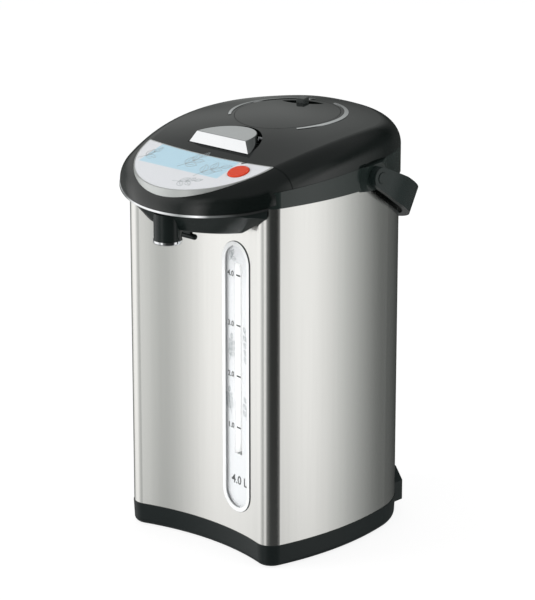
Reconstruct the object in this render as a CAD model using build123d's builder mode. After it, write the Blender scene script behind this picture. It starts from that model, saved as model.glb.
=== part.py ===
from build123d import *
import os
from math import cos, radians, sin, sqrt

# Electric thermo pot: a steel-skinned insulated jug with a hinged lid, a pump-fed spout under
# a front beak, a sight gauge and a swinging carry handle.
# Millimetres. +Z is up, the spout looks along -Y. The origin is on the table, under the middle
# of the pot's length; y values below are counted from the body's own centre, BODY_Y behind it.

os.makedirs("parts", exist_ok=True)

# ---------------------------------------------------------------- driving dimensions
# body in plan
HALF_W = 98.0  # half of the greatest width
SIDE_R = 268.0  # bowed sides
WIDEST_Y = -9.0  # where the sides stand furthest apart
CORNER_Y = -100.9  # front corners, before they are rounded
DISH = 15.2  # how far the front is dished between its corners
FRONT_CORNER_R = 14.0
BACK_Y = 100.9
BACK_CORNER_R = 72.7
# stock
SHEET = 0.8  # steel wrapper
WALL = 2.4  # moulded walls
TANK_WALL = 1.0
FIT = 0.1  # gap between parts that seat in each other
PLAY = 0.4  # gap round parts that move
# base
FOOT_H = 0.6  # how far the feet stand out of the base
FOOT_SUNK = 1.8  # and how deep they sit in it
FOOT_R = 8.0
FOOT_FRONT = (62.0, -74.0)
FOOT_BACK = (46.0, 72.0)
BASE_TOP = 20.5
BASE_PROUD = 0.5  # base stands out past the steel at its top
BASE_DRAFT = 0.5  # and is drawn in by this at its foot
BASE_EDGE_R = 5.0
BASE_FLOOR = 3.5
TONGUE_H = 6.0  # lip inside the steel
PLATE_R = 62.0  # round service plate in the floor
PLATE_T = 1.5
POST_PCD_R = 79.0  # posts that carry the tank, about its axis
POST_R = 5.0
SCREW_R = 1.8
SCREW_HEAD_R = 3.4
# tank and heater
TANK_Y = 8.0
TANK_R = 85.0
TANK_FLOOR = 68.0
TANK_CORNER_R = 10.0
RIM_Z = 325.0  # top of the tank's folded rim
RIM_R = 90.0
MOUTH_R = 80.0  # filling mouth in the collar
HEATER_R = 42.0
HEATER_T = 6.0
SHIELD_Z = 57.0
SHIELD_R = 84.5
SHIELD_RIM_R = 73.0
OUTLET = (20.0, -48.0)  # tank outlet, from the tank's axis
OUTLET_R = 6.0
BAND_Z = 88.0
BAND_H = 24.0
# pump
VOLUTE_R = 20.0
VOLUTE_Z = 30.0
VOLUTE_H = 12.0
MOTOR_R = 14.0
IMPELLER_R = 14.5
SHAFT_R = 1.5
SHAFT_PLAY = 0.05
BLADES = 6
# hoses and sight tube
HOSE_R = 6.0
HOSE_BORE_R = 4.5
TUBE_R = 4.4
TUBE_BORE_R = 3.4
HOSE_LAP = 7.0
TUBE_X = 38.8
TUBE_Y = -79.0
TUBE_LOW = 82.0
TUBE_HIGH = 269.0
HOSE_HIGH = 302.0
# gauge on the front
GAUGE_LOW = 40.0
GAUGE_HIGH = 280.0
GAUGE_W = 36.5
GAUGE_RIM = 1.6
SLOT_W = 9.5
SLOT_LOW = 91.0
SLOT_HIGH = 260.5
LENS_T = 1.0
LABEL_SHEET = 0.6
LENS_INSET = 2 * GAUGE_RIM + 0.4
CHANNEL_PLAY = 0.8  # backing channel round the sight tube
CHANNEL_T = 0.9
CHANNEL_LOW = 90.0
CHANNEL_HIGH = 261.5
# collar
COLLAR_LOW = 317.0
COLLAR_PROUD = 1.2
GROOVE_H = 4.5
DECK_T = 2.6
SEAL_T = 1.2
RIM_SLOPE = 0.066  # the lid's joint rises to the back
RIM_AT_0 = 336.8  # its height level with the body's centre
# beak
BEAK_REACH = 142.5
BEAK_R = 108.0
BEAK_CORNER_R = 50.0
STRIP_Z = 309.5  # chrome strip at the very front
STRIP_SLOPE = 0.2
STRIP_H = 1.9
STRIP_T = 6.0
STRIP_PROUD = 0.6
FRONT_REST = 2.0  # strip and hull end this far behind the body's front corners
HULL_LOW = 292.0
HULL_LOW_R = 63.8
HULL_LOW_Y = -64.9
HULL_HIGH = 320.0
HULL_HIGH_R = 129.5
HULL_HIGH_Y = -15.5
HULL_EDGE_R = 3.7
HULL_INSET = 1.0  # under the strip
# upper shell: (y, height of the crown, how far it falls by CROWN_HALF to each side)
CROWN = (
    (-175.0, 318.9, 0.6),
    (-125.0, 333.9, 0.8),
    (-79.0, 347.8, 1.4),
    (-32.0, 360.8, 7.0),
    (17.0, 367.5, 12.0),
    (70.0, 367.0, 17.0),
    (130.0, 356.0, 21.0),
)
CROWN_HALF = 112.0
SHOULDER_R = 21.5
# joint between lid and console
SEAM_Y = -83.0
SEAM_R = 614.0
SEAM_GAP = 0.5
# control panel
PANEL_Y = -78.7
PANEL_Z = 347.9
PANEL_SLOPE = 0.3
PANEL_R = 70.0
PANEL_WIDER = 1.6  # half of what it is wider than long
PANEL_CENTRE_Y = -70.0
PANEL_FLARE = 2.4
PANEL_T = 8.5
LABEL_T = 0.5
LABEL_RIM = 1.0
BUTTON = (47.7, -95.8)
BUTTON_R = 9.3
BUTTON_RISE = 1.0
BUTTON_TRAVEL = 1.2
BUTTON_FLANGE = 1.2
PANEL_SKIN = 2.2
BOARD_AT = 9.5  # depth of the board's face under the panel's
BOARD_POSTS = ((-50.0, -98.0), (34.0, -97.0), (-34.0, -116.0), (38.0, -114.0))
BOARD_T = 1.6
# pump plate in the lid
DISC_Y = 17.0
DISC_R = 45.6
DISC_T = 2.6
DISC_TRAVEL = 14.0
WELL_WALL = 2.0
WELL_FLOOR = 337.4  # top of the well's floor
TRIM_R = 48.9
TRIM_W = 3.8  # at the middle of each crescent
TRIM_SHIFT = 3.2  # its outer circle is off centre by this, so the ends are slimmer
TRIM_TURN = 19.0  # the crescents are turned this far to the back
TRIM_HALF_ANGLE = 58.0
BELLOWS_R = 26.0
BELLOWS_FOLDS = 4
# lock knob in the pump plate
LOCK_ANGLE = 109.0
LOCK_R = 33.4
LOCK_RECESS_R = 39.4
LOCK_RECESS_IN = 26.0  # its inner edge, from the plate's axis
LOCK_HALF_ANGLE = 30.0
LOCK_DEPTH = 3.0
LOCK_CLEAR = 0.6  # knob over the floor of its recess
LOCK_W = 8.0
LOCK_LEN = 11.0
LOCK_RISE = 7.0  # above the floor of its recess
LOCK_STEM_R = 2.0
LOCK_SWING = 8.0
# lid-release lever
LEVER_FRONT_Y = -69.5
LEVER_LOW = 350.5
LEVER_TOP = 360.2
LEVER_W = 33.7
LEVER_TOP_W = 27.6
LEVER_LEN = 38.0
LEVER_TOP_LEN = 33.0
LEVER_TOP_Y = -66.0
LEVER_TOP_SLOPE = 0.04
LEVER_GAP = 1.2
LEVER_PIN_Y = -38.0
LEVER_PIN_Z = 355.4
LEVER_SKIN = 1.8
LEVER_SWING = 25.0
LEVER_RIB_END = 2.4  # behind the pin's axis
LEVER_HEEL = 2.8  # its skirt ends this far below the pin there
LEVER_PIN_R = 1.5
BOLT_W = 24.0
BOLT_H = 5.0
BOLT_LEN = 24.0
BOLT_THROW = 4.0
# lid
PAN_Z = 330.5  # underside of the lid's inner pan
PAN_T = 2.0
PLUG_R = 73.0
PLUG_LOW = 321.0
VALVE_AT = 44.0  # steam valve, behind the tank's axis
VALVE_R = 9.0
VALVE_H = 3.0
GASKET_R = 85.0
GASKET_W = 4.0
GASKET_CLEAR = 0.3
LID_SCREWS = ((64.0, -60.0), (50.0, 82.0))
LID_SWING = 75.0
# rear hinge
HINGE_OUT = 3.6
KNUCKLE_R = 4.4
HINGE_PIN_R = 1.6
KNUCKLE_HALF = 13.5
EAR_OUT = 26.0
# spout and cup lever
SPOUT_Y = -131.0
SPOUT_R = 11.8
SPOUT_BORE_R = 5.0
SPOUT_LOW = 283.5
SPOUT_RING_H = 3.0
CUP_Y = -107.0
CUP_AXIS_Z = 293.4
CUP_BAR_Z = 281.8
CUP_BAR_HALF = 9.6
CUP_BAR_R = 2.5
CUP_BAR_FLAT = 0.6  # what its round ends leave flat
CUP_PIN_R = 1.2
CUP_ARM_W = 8.0
CUP_SWING = 12.0
# carry handle
PIVOT_Y = 15.0
PIVOT_Z = 327.0
BOSS_X = 102.0
BOSS_R = 26.0
BOSS_TIP_R = 13.5
BOSS_LOW = 315.6
ARM_GAP = 0.5
ARM_T = 6.5
ARM_END_R = 9.0
GRIP_W = 24.0
GRIP_AT = 35.0  # the arm reaches its full width this far from the pivot
PIVOT_R = 3.0
PIVOT_HEAD_R = 4.6
BAIL_LEN = 115.5
BAIL_CORNER_R = 100.0
DROOP = 28.5  # degrees below level when it hangs against its stop
# mains inlet
INLET_X = (36.0, 72.0)
INLET_Y = 93.0
INLET_DEPTH = 17.0
INLET_Z = (8.0, 38.0)
INLET_SHOULDER = (8.0, 12.0)  # its upper corners slope in
SOCKET_W = 25.0
SOCKET_H = 17.0
SOCKET_DEPTH = 13.0
PIN_R = 2.0

# ---------------------------------------------------------------- derived places
DISH_R = ((HALF_W - 16.3) ** 2 + DISH**2) / (2 * DISH)
SEAT_Z = FOOT_H + BASE_FLOOR
ARM_X = BOSS_X + ARM_GAP
BAIL_HALF = ARM_X + ARM_T
BAIL_BACK = PIVOT_Y + BAIL_LEN * cos(radians(DROOP)) + GRIP_W / 2 * sin(radians(DROOP))
BODY_Y = (BEAK_REACH + STRIP_PROUD - BAIL_BACK) / 2
DECK_LOW = RIM_Z + SEAL_T
DECK_TOP = DECK_LOW + DECK_T
HINGE_Y = BACK_Y + HINGE_OUT
HINGE_Z = RIM_AT_0 + RIM_SLOPE * BACK_Y - 1.0
GAUGE_MID = (GAUGE_LOW + GAUGE_HIGH) / 2
PUMP_X = OUTLET[0]
PUMP_Y = TANK_Y + OUTLET[1]
POCKET_LOW = LEVER_LOW - 1.0
BOLT_Z = POCKET_LOW - 11.0
FAR = 400.0  # longer than any part


# ---------------------------------------------------------------- planes
def level(z, y=0.0, x=0.0):
    """Level plane at height z, over the point x, y of the body."""
    return Plane(origin=(x, BODY_Y + y, z))


def side(x=0.0):
    """Upright plane seen from the right: sketch x runs back, sketch y runs up."""
    return Plane(origin=(x, BODY_Y, 0), x_dir=(0, 1, 0), z_dir=(1, 0, 0))


def facing(y=0.0):
    """Upright plane seen from the front: sketch x runs right, sketch y runs up."""
    return Plane(origin=(0, BODY_Y + y, 0), x_dir=(1, 0, 0), z_dir=(0, -1, 0))


def ramp(z, slope, y=0.0):
    """Plane that rises to the back by slope and has height z at y."""
    return Plane(origin=(0, BODY_Y + y, z), x_dir=(1, 0, 0), z_dir=(0, -slope, 1))


def rim_height(y):
    """Height of the joint under the lid at y."""
    return RIM_AT_0 + RIM_SLOPE * y


def rim_plane(lift=0.0):
    """The joint between collar and upper shell, raised by lift."""
    return ramp(RIM_AT_0 + lift, RIM_SLOPE)


def strip_plane(lift=0.0):
    """Middle of the chrome strip round the beak, raised by lift."""
    return ramp(STRIP_Z + lift, STRIP_SLOPE, -BEAK_REACH)


def panel_plane(drop=0.0):
    """Face of the control panel, sunk by drop."""
    return ramp(PANEL_Z, PANEL_SLOPE, PANEL_Y).offset(-drop)


def on_panel(y):
    """Distance up the panel plane's own y axis of the body's y."""
    return (y - PANEL_Y) * sqrt(1 + PANEL_SLOPE**2)


# ---------------------------------------------------------------- outlines
def lens(grow):
    """Draws the overlap of the two bowed sides into the sketch that is open."""
    with Locations((HALF_W - SIDE_R, WIDEST_Y)):
        Circle(SIDE_R + grow)
    with Locations((SIDE_R - HALF_W, WIDEST_Y)):
        Circle(SIDE_R + grow, mode=Mode.INTERSECT)
    with Locations((0, BACK_Y + grow)):
        Rectangle(FAR, FAR + BACK_Y, align=(Align.CENTER, Align.MAX), mode=Mode.INTERSECT)


def body_plan(grow=0.0):
    """The body in plan, with its dished front, grown outward by grow."""
    with BuildSketch(mode=Mode.PRIVATE) as plan:
        lens(grow)
        with Locations((0, CORNER_Y + DISH - DISH_R)):
            Circle(DISH_R - grow, mode=Mode.SUBTRACT)
        fillet(plan.vertices().sort_by(Axis.Y)[:2], FRONT_CORNER_R + grow)
        fillet(plan.vertices().sort_by(Axis.Y)[-2:], BACK_CORNER_R + grow)
    return plan.sketch


def upper_plan(grow=0.0):
    """Upper shell in plan: the collar's sides and back, and the beak's round front."""
    with BuildSketch(mode=Mode.PRIVATE) as plan:
        lens(COLLAR_PROUD + grow)
        with BuildSketch(mode=Mode.PRIVATE) as keep:
            with Locations((0, BEAK_R - BEAK_REACH)):
                Circle(BEAK_R + grow)
                Rectangle(FAR, FAR, align=(Align.CENTER, Align.MIN))
        add(keep.sketch, mode=Mode.INTERSECT)
        fillet(plan.vertices().sort_by(Axis.Y)[:2], BEAK_CORNER_R + grow)
        fillet(plan.vertices().sort_by(Axis.Y)[-2:], BACK_CORNER_R + COLLAR_PROUD + grow)
    return plan.sketch


def ring(plane, height, outer, inner):
    """Upright wall on plane between two outlines, added to the part that is open."""
    with BuildSketch(plane) as band:
        add(outer)
        add(inner, mode=Mode.SUBTRACT)
    extrude(band.sketch, amount=height)


def cut_prism(plane, outline, height):
    """Cuts the outline out of the part that is open, from plane up through height."""
    with BuildSketch(plane) as cut:
        add(outline)
    extrude(cut.sketch, amount=height, mode=Mode.SUBTRACT)


def box_at(x0, x1, y0, y1, z0, z1, mode=Mode.ADD):
    """Box between body coordinates."""
    with BuildSketch(level(z0, (y0 + y1) / 2, (x0 + x1) / 2)) as foot:
        Rectangle(x1 - x0, y1 - y0)
    extrude(foot.sketch, amount=z1 - z0, mode=mode)


def upright(x, y, z0, z1, radius, mode=Mode.ADD):
    """Upright cylinder between two heights."""
    with BuildSketch(level(z0, y, x)) as disc:
        Circle(radius)
    extrude(disc.sketch, amount=z1 - z0, mode=mode)


def crosswise(x0, x1, y, z, radius, mode=Mode.ADD):
    """Cylinder along X between x0 and x1."""
    with BuildSketch(side(x0)) as disc:
        with Locations((y, z)):
            Circle(radius)
    extrude(disc.sketch, amount=x1 - x0, mode=mode)


def save(builder, name):
    """Labels a finished piece and writes it."""
    builder.part.label = name
    export_step(builder.part, f"parts/{name}.step")


# ---------------------------------------------------------------- base
def tank_posts():
    """The four posts' places about the tank's axis."""
    return PolarLocations(POST_PCD_R, 4, start_angle=45)


def feet():
    """The four rubber feet's places."""
    return Locations(*[(s * x, y) for s in (-1, 1) for x, y in (FOOT_FRONT, FOOT_BACK)])


def inlet_notch():
    """Cuts the room for the mains inlet out of the part that is open."""
    box_at(INLET_X[0] - FIT, INLET_X[1] + FIT, INLET_Y - INLET_DEPTH - FIT, FAR / 2,
           INLET_Z[0] - FIT, INLET_Z[1] + FIT, mode=Mode.SUBTRACT)


with BuildPart() as base_cup:
    with BuildSketch(level(FOOT_H)):
        add(body_plan(-BASE_DRAFT))
    with BuildSketch(level(BASE_TOP)):
        add(body_plan(BASE_PROUD))
    loft(ruled=True)
    fillet(base_cup.faces().sort_by(Axis.Z)[0].edges(), BASE_EDGE_R)
    with BuildSketch(level(BASE_TOP)):
        add(body_plan(-SHEET - FIT))
    extrude(amount=TONGUE_H)
    cut_prism(level(SEAT_Z), body_plan(-BASE_DRAFT - WALL), BASE_TOP - SEAT_Z)
    cut_prism(level(BASE_TOP - WALL), body_plan(-SHEET - FIT - WALL), TONGUE_H + 2 * WALL)
    with BuildSketch(level(SEAT_Z, TANK_Y)):
        with tank_posts():
            Circle(POST_R)
    extrude(amount=SHIELD_Z - SEAT_Z)
    upright(0, TANK_Y, FOOT_H, FOOT_H + PLATE_T + 2 * FIT, PLATE_R + FIT, mode=Mode.SUBTRACT)
    upright(0, TANK_Y, FOOT_H, SEAT_Z, PLATE_R - 5, mode=Mode.SUBTRACT)
    with BuildSketch(level(FOOT_H, TANK_Y)):
        with tank_posts():
            Circle(SCREW_R + FIT)
    extrude(amount=FAR, mode=Mode.SUBTRACT)
    with BuildSketch(level(FOOT_H, TANK_Y)):
        with tank_posts():
            Circle(SCREW_HEAD_R + FIT)
    extrude(amount=BASE_FLOOR, mode=Mode.SUBTRACT)
    with BuildSketch(level(FOOT_H)):
        with feet():
            Circle(FOOT_R + FIT)
    extrude(amount=FOOT_SUNK + FIT, mode=Mode.SUBTRACT)
    inlet_notch()
save(base_cup, "base_cup")

with BuildPart() as base_plate:
    upright(0, TANK_Y, FOOT_H + FIT, FOOT_H + FIT + PLATE_T, PLATE_R)
    with BuildSketch(level(FOOT_H, TANK_Y)):
        with GridLocations(9.0, 34.0, 7, 2):
            SlotOverall(24.0, 3.0, rotation=90)
    extrude(amount=PLATE_T * 2, mode=Mode.SUBTRACT)
save(base_plate, "base_plate")

with BuildPart() as base_feet:
    with BuildSketch(level(0)):
        with feet():
            Circle(FOOT_R)
    extrude(amount=FOOT_H + FOOT_SUNK)
    chamfer(base_feet.faces().group_by(Axis.Z)[0].edges(), FOOT_H / 2)
save(base_feet, "base_feet")

with BuildPart() as base_screws:
    with BuildSketch(level(FOOT_H + BASE_FLOOR, TANK_Y)):
        with tank_posts():
            Circle(SCREW_R)
    extrude(amount=SHIELD_Z + TANK_WALL - SEAT_Z)
    with BuildSketch(level(FOOT_H + 0.8, TANK_Y)):
        with tank_posts():
            Circle(SCREW_HEAD_R)
    extrude(amount=BASE_FLOOR - 0.8)
save(base_screws, "base_screws")

# ---------------------------------------------------------------- steel skin
with BuildPart() as outer_shell:
    ring(level(BASE_TOP), COLLAR_LOW + GROOVE_H - FIT - BASE_TOP, body_plan(), body_plan(-SHEET))
    with BuildSketch(facing(CORNER_Y)):
        with Locations((TUBE_X, GAUGE_MID)):
            SlotOverall(GAUGE_HIGH - GAUGE_LOW - 2 * GAUGE_RIM, GAUGE_W - 2 * GAUGE_RIM, rotation=90)
    extrude(amount=-FAR / 10, mode=Mode.SUBTRACT)
    box_at(-HOSE_R * 2, TUBE_X + HOSE_R * 2, CORNER_Y, TUBE_Y, HOSE_HIGH - 8, FAR, mode=Mode.SUBTRACT)
    inlet_notch()
save(outer_shell, "outer_shell")


# ---------------------------------------------------------------- gauge
def front_layer(outer_grow, inner_grow, width, low, high, hole_width=0.0, hole_low=0.0, hole_high=0.0):
    """A rounded strip that follows the dished front, between two offsets of the body."""
    ring(level(low), high - low, body_plan(outer_grow), body_plan(inner_grow))
    with BuildSketch(facing(CORNER_Y - 5)) as strip:
        with Locations((TUBE_X, (low + high) / 2)):
            SlotOverall(high - low, width, rotation=90)
        if hole_width:
            with Locations((TUBE_X, (hole_low + hole_high) / 2)):
                SlotOverall(hole_high - hole_low, hole_width, rotation=90, mode=Mode.SUBTRACT)
    extrude(strip.sketch, amount=-FAR / 10, mode=Mode.INTERSECT)


with BuildPart() as gauge_frame:
    front_layer(0.9, 0.02, GAUGE_W, GAUGE_LOW, GAUGE_HIGH,
                GAUGE_W - 2 * LENS_INSET, GAUGE_LOW + LENS_INSET, GAUGE_HIGH - LENS_INSET)
save(gauge_frame, "gauge_frame")

with BuildPart() as gauge_window:
    front_layer(-SHEET - FIT, -SHEET - FIT - LENS_T, GAUGE_W, GAUGE_LOW, GAUGE_HIGH)
save(gauge_window, "gauge_window")

with BuildPart() as gauge_label:
    front_layer(-SHEET - 1.5 * FIT - LENS_T, -SHEET - 1.5 * FIT - LENS_T - LABEL_SHEET,
                GAUGE_W, GAUGE_LOW, GAUGE_HIGH)
    box_at(TUBE_X - SLOT_W / 2, TUBE_X + SLOT_W / 2, CORNER_Y, TUBE_Y, SLOT_LOW, SLOT_HIGH, mode=Mode.SUBTRACT)
save(gauge_label, "gauge_label")

with BuildPart() as sight_tube:
    upright(TUBE_X, TUBE_Y, TUBE_LOW, TUBE_HIGH, TUBE_R)
    upright(TUBE_X, TUBE_Y, TUBE_LOW, TUBE_HIGH, TUBE_BORE_R, mode=Mode.SUBTRACT)
save(sight_tube, "sight_tube")

with BuildPart() as tube_channel:
    half = TUBE_R + CHANNEL_PLAY + CHANNEL_T
    box_at(TUBE_X - half, TUBE_X + half, CORNER_Y, TUBE_Y + half, CHANNEL_LOW, CHANNEL_HIGH)
    half -= CHANNEL_T
    box_at(TUBE_X - half, TUBE_X + half, CORNER_Y, TUBE_Y + half, 0, FAR, mode=Mode.SUBTRACT)
    with BuildSketch(level(0)):
        add(body_plan(-SHEET - 2 * FIT - LENS_T - LABEL_SHEET))
    extrude(amount=FAR, mode=Mode.INTERSECT)
save(tube_channel, "tube_channel")

# ---------------------------------------------------------------- tank, heaters and shield
with BuildPart() as tank:
    with BuildSketch(Plane(origin=(0, BODY_Y + TANK_Y, 0), x_dir=(1, 0, 0), z_dir=(0, -1, 0))):
        with BuildLine():
            FilletPolyline((0, TANK_FLOOR), (TANK_R, TANK_FLOOR), (TANK_R, RIM_Z - TANK_WALL),
                           (RIM_R, RIM_Z - TANK_WALL), radius=(TANK_CORNER_R, 2.0))
            Polyline((RIM_R, RIM_Z - TANK_WALL), (RIM_R, RIM_Z), (TANK_R - TANK_WALL, RIM_Z))
            FilletPolyline((TANK_R - TANK_WALL, RIM_Z), (TANK_R - TANK_WALL, TANK_FLOOR + TANK_WALL),
                           (0, TANK_FLOOR + TANK_WALL), radius=TANK_CORNER_R - TANK_WALL)
            Line((0, TANK_FLOOR + TANK_WALL), (0, TANK_FLOOR))
        make_face()
    revolve(axis=Axis((0, BODY_Y + TANK_Y, 0), (0, 0, 1)))
    upright(PUMP_X, PUMP_Y, SHIELD_Z - 4, TANK_FLOOR + TANK_WALL / 2, OUTLET_R - 1.6)
    upright(PUMP_X, PUMP_Y, SHIELD_Z - 4, TANK_FLOOR + 2 * TANK_WALL, OUTLET_R - 2.6, mode=Mode.SUBTRACT)
save(tank, "tank")

with BuildPart() as heater_plate:
    upright(0, TANK_Y, TANK_FLOOR - HEATER_T / 2, TANK_FLOOR, HEATER_R)
    with BuildSketch(level(TANK_FLOOR - HEATER_T, TANK_Y)):
        Circle(HEATER_R - 6)
        Circle(HEATER_R - 14, mode=Mode.SUBTRACT)
    extrude(amount=HEATER_T / 2)
    fillet(heater_plate.faces().sort_by(Axis.Z)[0].edges(), 1.2)
save(heater_plate, "heater_plate")

with BuildPart() as thermostats:
    for x in (-9.0, 9.0):
        upright(x, TANK_Y, SHIELD_Z + 2.0, TANK_FLOOR - HEATER_T / 2, 6.5)
        box_at(x - 1, x + 1, TANK_Y - 9, TANK_Y + 9, SHIELD_Z + 2.0, SHIELD_Z + 3.0)
save(thermostats, "thermostats")

with BuildPart() as band_heater:
    with BuildSketch(level(BAND_Z, TANK_Y)):
        Circle(TANK_R + 1.3)
        Circle(TANK_R + FIT, mode=Mode.SUBTRACT)
        with Locations((0, -TANK_R)):
            Rectangle(12.0, 16.0, mode=Mode.SUBTRACT)
    extrude(amount=BAND_H)
save(band_heater, "band_heater")

with BuildPart() as heat_shield:
    upright(0, TANK_Y, SHIELD_Z, SHIELD_Z + TANK_WALL, SHIELD_R)
    with BuildSketch(level(SHIELD_Z, TANK_Y)):
        Circle(SHIELD_RIM_R + TANK_WALL)
        Circle(SHIELD_RIM_R, mode=Mode.SUBTRACT)
    extrude(amount=TANK_FLOOR - SHIELD_Z)
    with BuildSketch(level(SHIELD_Z, TANK_Y)):
        with tank_posts():
            Circle(SCREW_R + FIT)
        Circle(14.0)
        with Locations(OUTLET):
            Circle(OUTLET_R + 4)
    extrude(amount=2 * TANK_WALL, mode=Mode.SUBTRACT)
save(heat_shield, "heat_shield")

# ---------------------------------------------------------------- pump
with BuildPart() as pump_housing:
    upright(PUMP_X, PUMP_Y, VOLUTE_Z, VOLUTE_Z + VOLUTE_H, VOLUTE_R)
    fillet(pump_housing.edges().filter_by(GeomType.CIRCLE), 1.5)
    upright(PUMP_X, PUMP_Y, VOLUTE_Z + VOLUTE_H - 1, VOLUTE_Z + VOLUTE_H + 6, TUBE_R)
    with BuildSketch(facing(PUMP_Y)):
        with Locations((PUMP_X, VOLUTE_Z + VOLUTE_H / 2)):
            Circle(TUBE_R)
    extrude(amount=VOLUTE_R + 7)
    upright(PUMP_X, PUMP_Y, VOLUTE_Z + 2.5, VOLUTE_Z + VOLUTE_H - 2.5, VOLUTE_R - 3, mode=Mode.SUBTRACT)
    upright(PUMP_X, PUMP_Y, VOLUTE_Z + 4, VOLUTE_Z + VOLUTE_H + 8, TUBE_BORE_R, mode=Mode.SUBTRACT)
    upright(PUMP_X, PUMP_Y, VOLUTE_Z - 1, VOLUTE_Z + 4, SHAFT_R + SHAFT_PLAY, mode=Mode.SUBTRACT)
    with BuildSketch(facing(PUMP_Y - VOLUTE_R + 6)):
        with Locations((PUMP_X, VOLUTE_Z + VOLUTE_H / 2)):
            Circle(TUBE_BORE_R)
    extrude(amount=FAR / 10, mode=Mode.SUBTRACT)
save(pump_housing, "pump_housing")

with BuildPart() as pump_motor:
    upright(PUMP_X, PUMP_Y, SEAT_Z + FIT, VOLUTE_Z, MOTOR_R)
    fillet(pump_motor.edges().filter_by(GeomType.CIRCLE), 1.2)
    upright(PUMP_X, PUMP_Y, VOLUTE_Z - 12, VOLUTE_Z + 1, SHAFT_R + SHAFT_PLAY, mode=Mode.SUBTRACT)
save(pump_motor, "pump_motor")

with BuildPart() as pump_impeller:
    upright(PUMP_X, PUMP_Y, VOLUTE_Z - 11.5, VOLUTE_Z + 5, SHAFT_R)
    upright(PUMP_X, PUMP_Y, VOLUTE_Z + 3, VOLUTE_Z + 4.2, IMPELLER_R)
    with BuildSketch(level(VOLUTE_Z + 4.2, PUMP_Y, PUMP_X)):
        with PolarLocations(IMPELLER_R / 2 + 1, BLADES):
            Rectangle(IMPELLER_R - 4, 1.4, rotation=24)
    extrude(amount=4)
save(pump_impeller, "pump_impeller")


def hose(points, radii):
    """A hose along straight runs and bends, given in body coordinates."""
    places = [(x, BODY_Y + y, z) for x, y, z in points]
    with BuildPart(mode=Mode.PRIVATE) as made:
        with BuildLine() as path:
            FilletPolyline(*places, radius=radii)
        with BuildSketch(Plane(origin=path.line @ 0, z_dir=path.line % 0)):
            Circle(HOSE_R)
            Circle(HOSE_BORE_R, mode=Mode.SUBTRACT)
        sweep(path=path.line)
    return made


pump_mid = VOLUTE_Z + VOLUTE_H / 2
riser_hose = hose(
    [(PUMP_X, PUMP_Y - VOLUTE_R - 0.5, pump_mid), (PUMP_X, TUBE_Y, pump_mid),
     (TUBE_X, TUBE_Y, pump_mid + 14), (TUBE_X, TUBE_Y, TUBE_LOW + HOSE_LAP)], (9.0, 9.0))
save(riser_hose, "riser_hose")

spout_back = SPOUT_Y + SPOUT_R
spout_hose = hose(
    [(TUBE_X, TUBE_Y, TUBE_HIGH - HOSE_LAP), (TUBE_X, TUBE_Y, HOSE_HIGH),
     (0, TUBE_Y - 20, HOSE_HIGH), (0, spout_back + 0.5, HOSE_HIGH)], (12.0, 12.0))
save(spout_hose, "spout_hose")

with BuildPart() as inlet_hose:
    with BuildSketch(level(VOLUTE_Z + VOLUTE_H + FIT, PUMP_Y, PUMP_X)):
        Circle(HOSE_R)
        Circle(HOSE_BORE_R, mode=Mode.SUBTRACT)
    extrude(amount=SHIELD_Z + 3 - VOLUTE_Z - VOLUTE_H)
save(inlet_hose, "inlet_hose")

# ---------------------------------------------------------------- electrics
BOARD = (-46.0, 14.0, 30.0, 80.0)
with BuildPart() as power_board:
    box_at(*BOARD, SEAT_Z + 6, SEAT_Z + 6 + BOARD_T)
    top = SEAT_Z + 6 + BOARD_T
    box_at(-40, -14, 48, 74, top, top + 22)
    box_at(-8, 8, 58, 74, top, top + 16)
    for x in (-6.0, 8.0):
        upright(x, 42, top, top + 14, 5)
    for x, y in ((BOARD[0] + 4, BOARD[2] + 4), (BOARD[1] - 4, BOARD[2] + 4),
                 (BOARD[0] + 4, BOARD[3] - 4), (BOARD[1] - 4, BOARD[3] - 4)):
        upright(x, y, SEAT_Z, SEAT_Z + 6, 3)
save(power_board, "power_board")

inlet_mid = sum(INLET_X) / 2
socket_z = sum(INLET_Z) / 2
with BuildPart() as inlet_housing:
    with BuildSketch(facing(INLET_Y)):
        with BuildLine():
            Polyline((INLET_X[0], INLET_Z[0]), (INLET_X[0], INLET_Z[1] - INLET_SHOULDER[1]),
                     (INLET_X[0] + INLET_SHOULDER[0], INLET_Z[1]), (INLET_X[1] - INLET_SHOULDER[0], INLET_Z[1]),
                     (INLET_X[1], INLET_Z[1] - INLET_SHOULDER[1]), (INLET_X[1], INLET_Z[0]), close=True)
        make_face()
    extrude(amount=INLET_DEPTH)
    fillet(inlet_housing.faces().sort_by(Axis.Y)[-1].edges(), 1.5)
    with BuildSketch(facing(INLET_Y)):
        with Locations((inlet_mid, socket_z - 2)):
            RectangleRounded(SOCKET_W, SOCKET_H, 4)
    extrude(amount=SOCKET_DEPTH, mode=Mode.SUBTRACT)
save(inlet_housing, "inlet_housing")

with BuildPart() as inlet_pins:
    with BuildSketch(facing(INLET_Y - 2)):
        with Locations((inlet_mid - 7.5, socket_z), (inlet_mid + 7.5, socket_z), (inlet_mid, socket_z - 7)):
            Circle(PIN_R)
    extrude(amount=SOCKET_DEPTH - 2)
save(inlet_pins, "inlet_pins")

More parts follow.
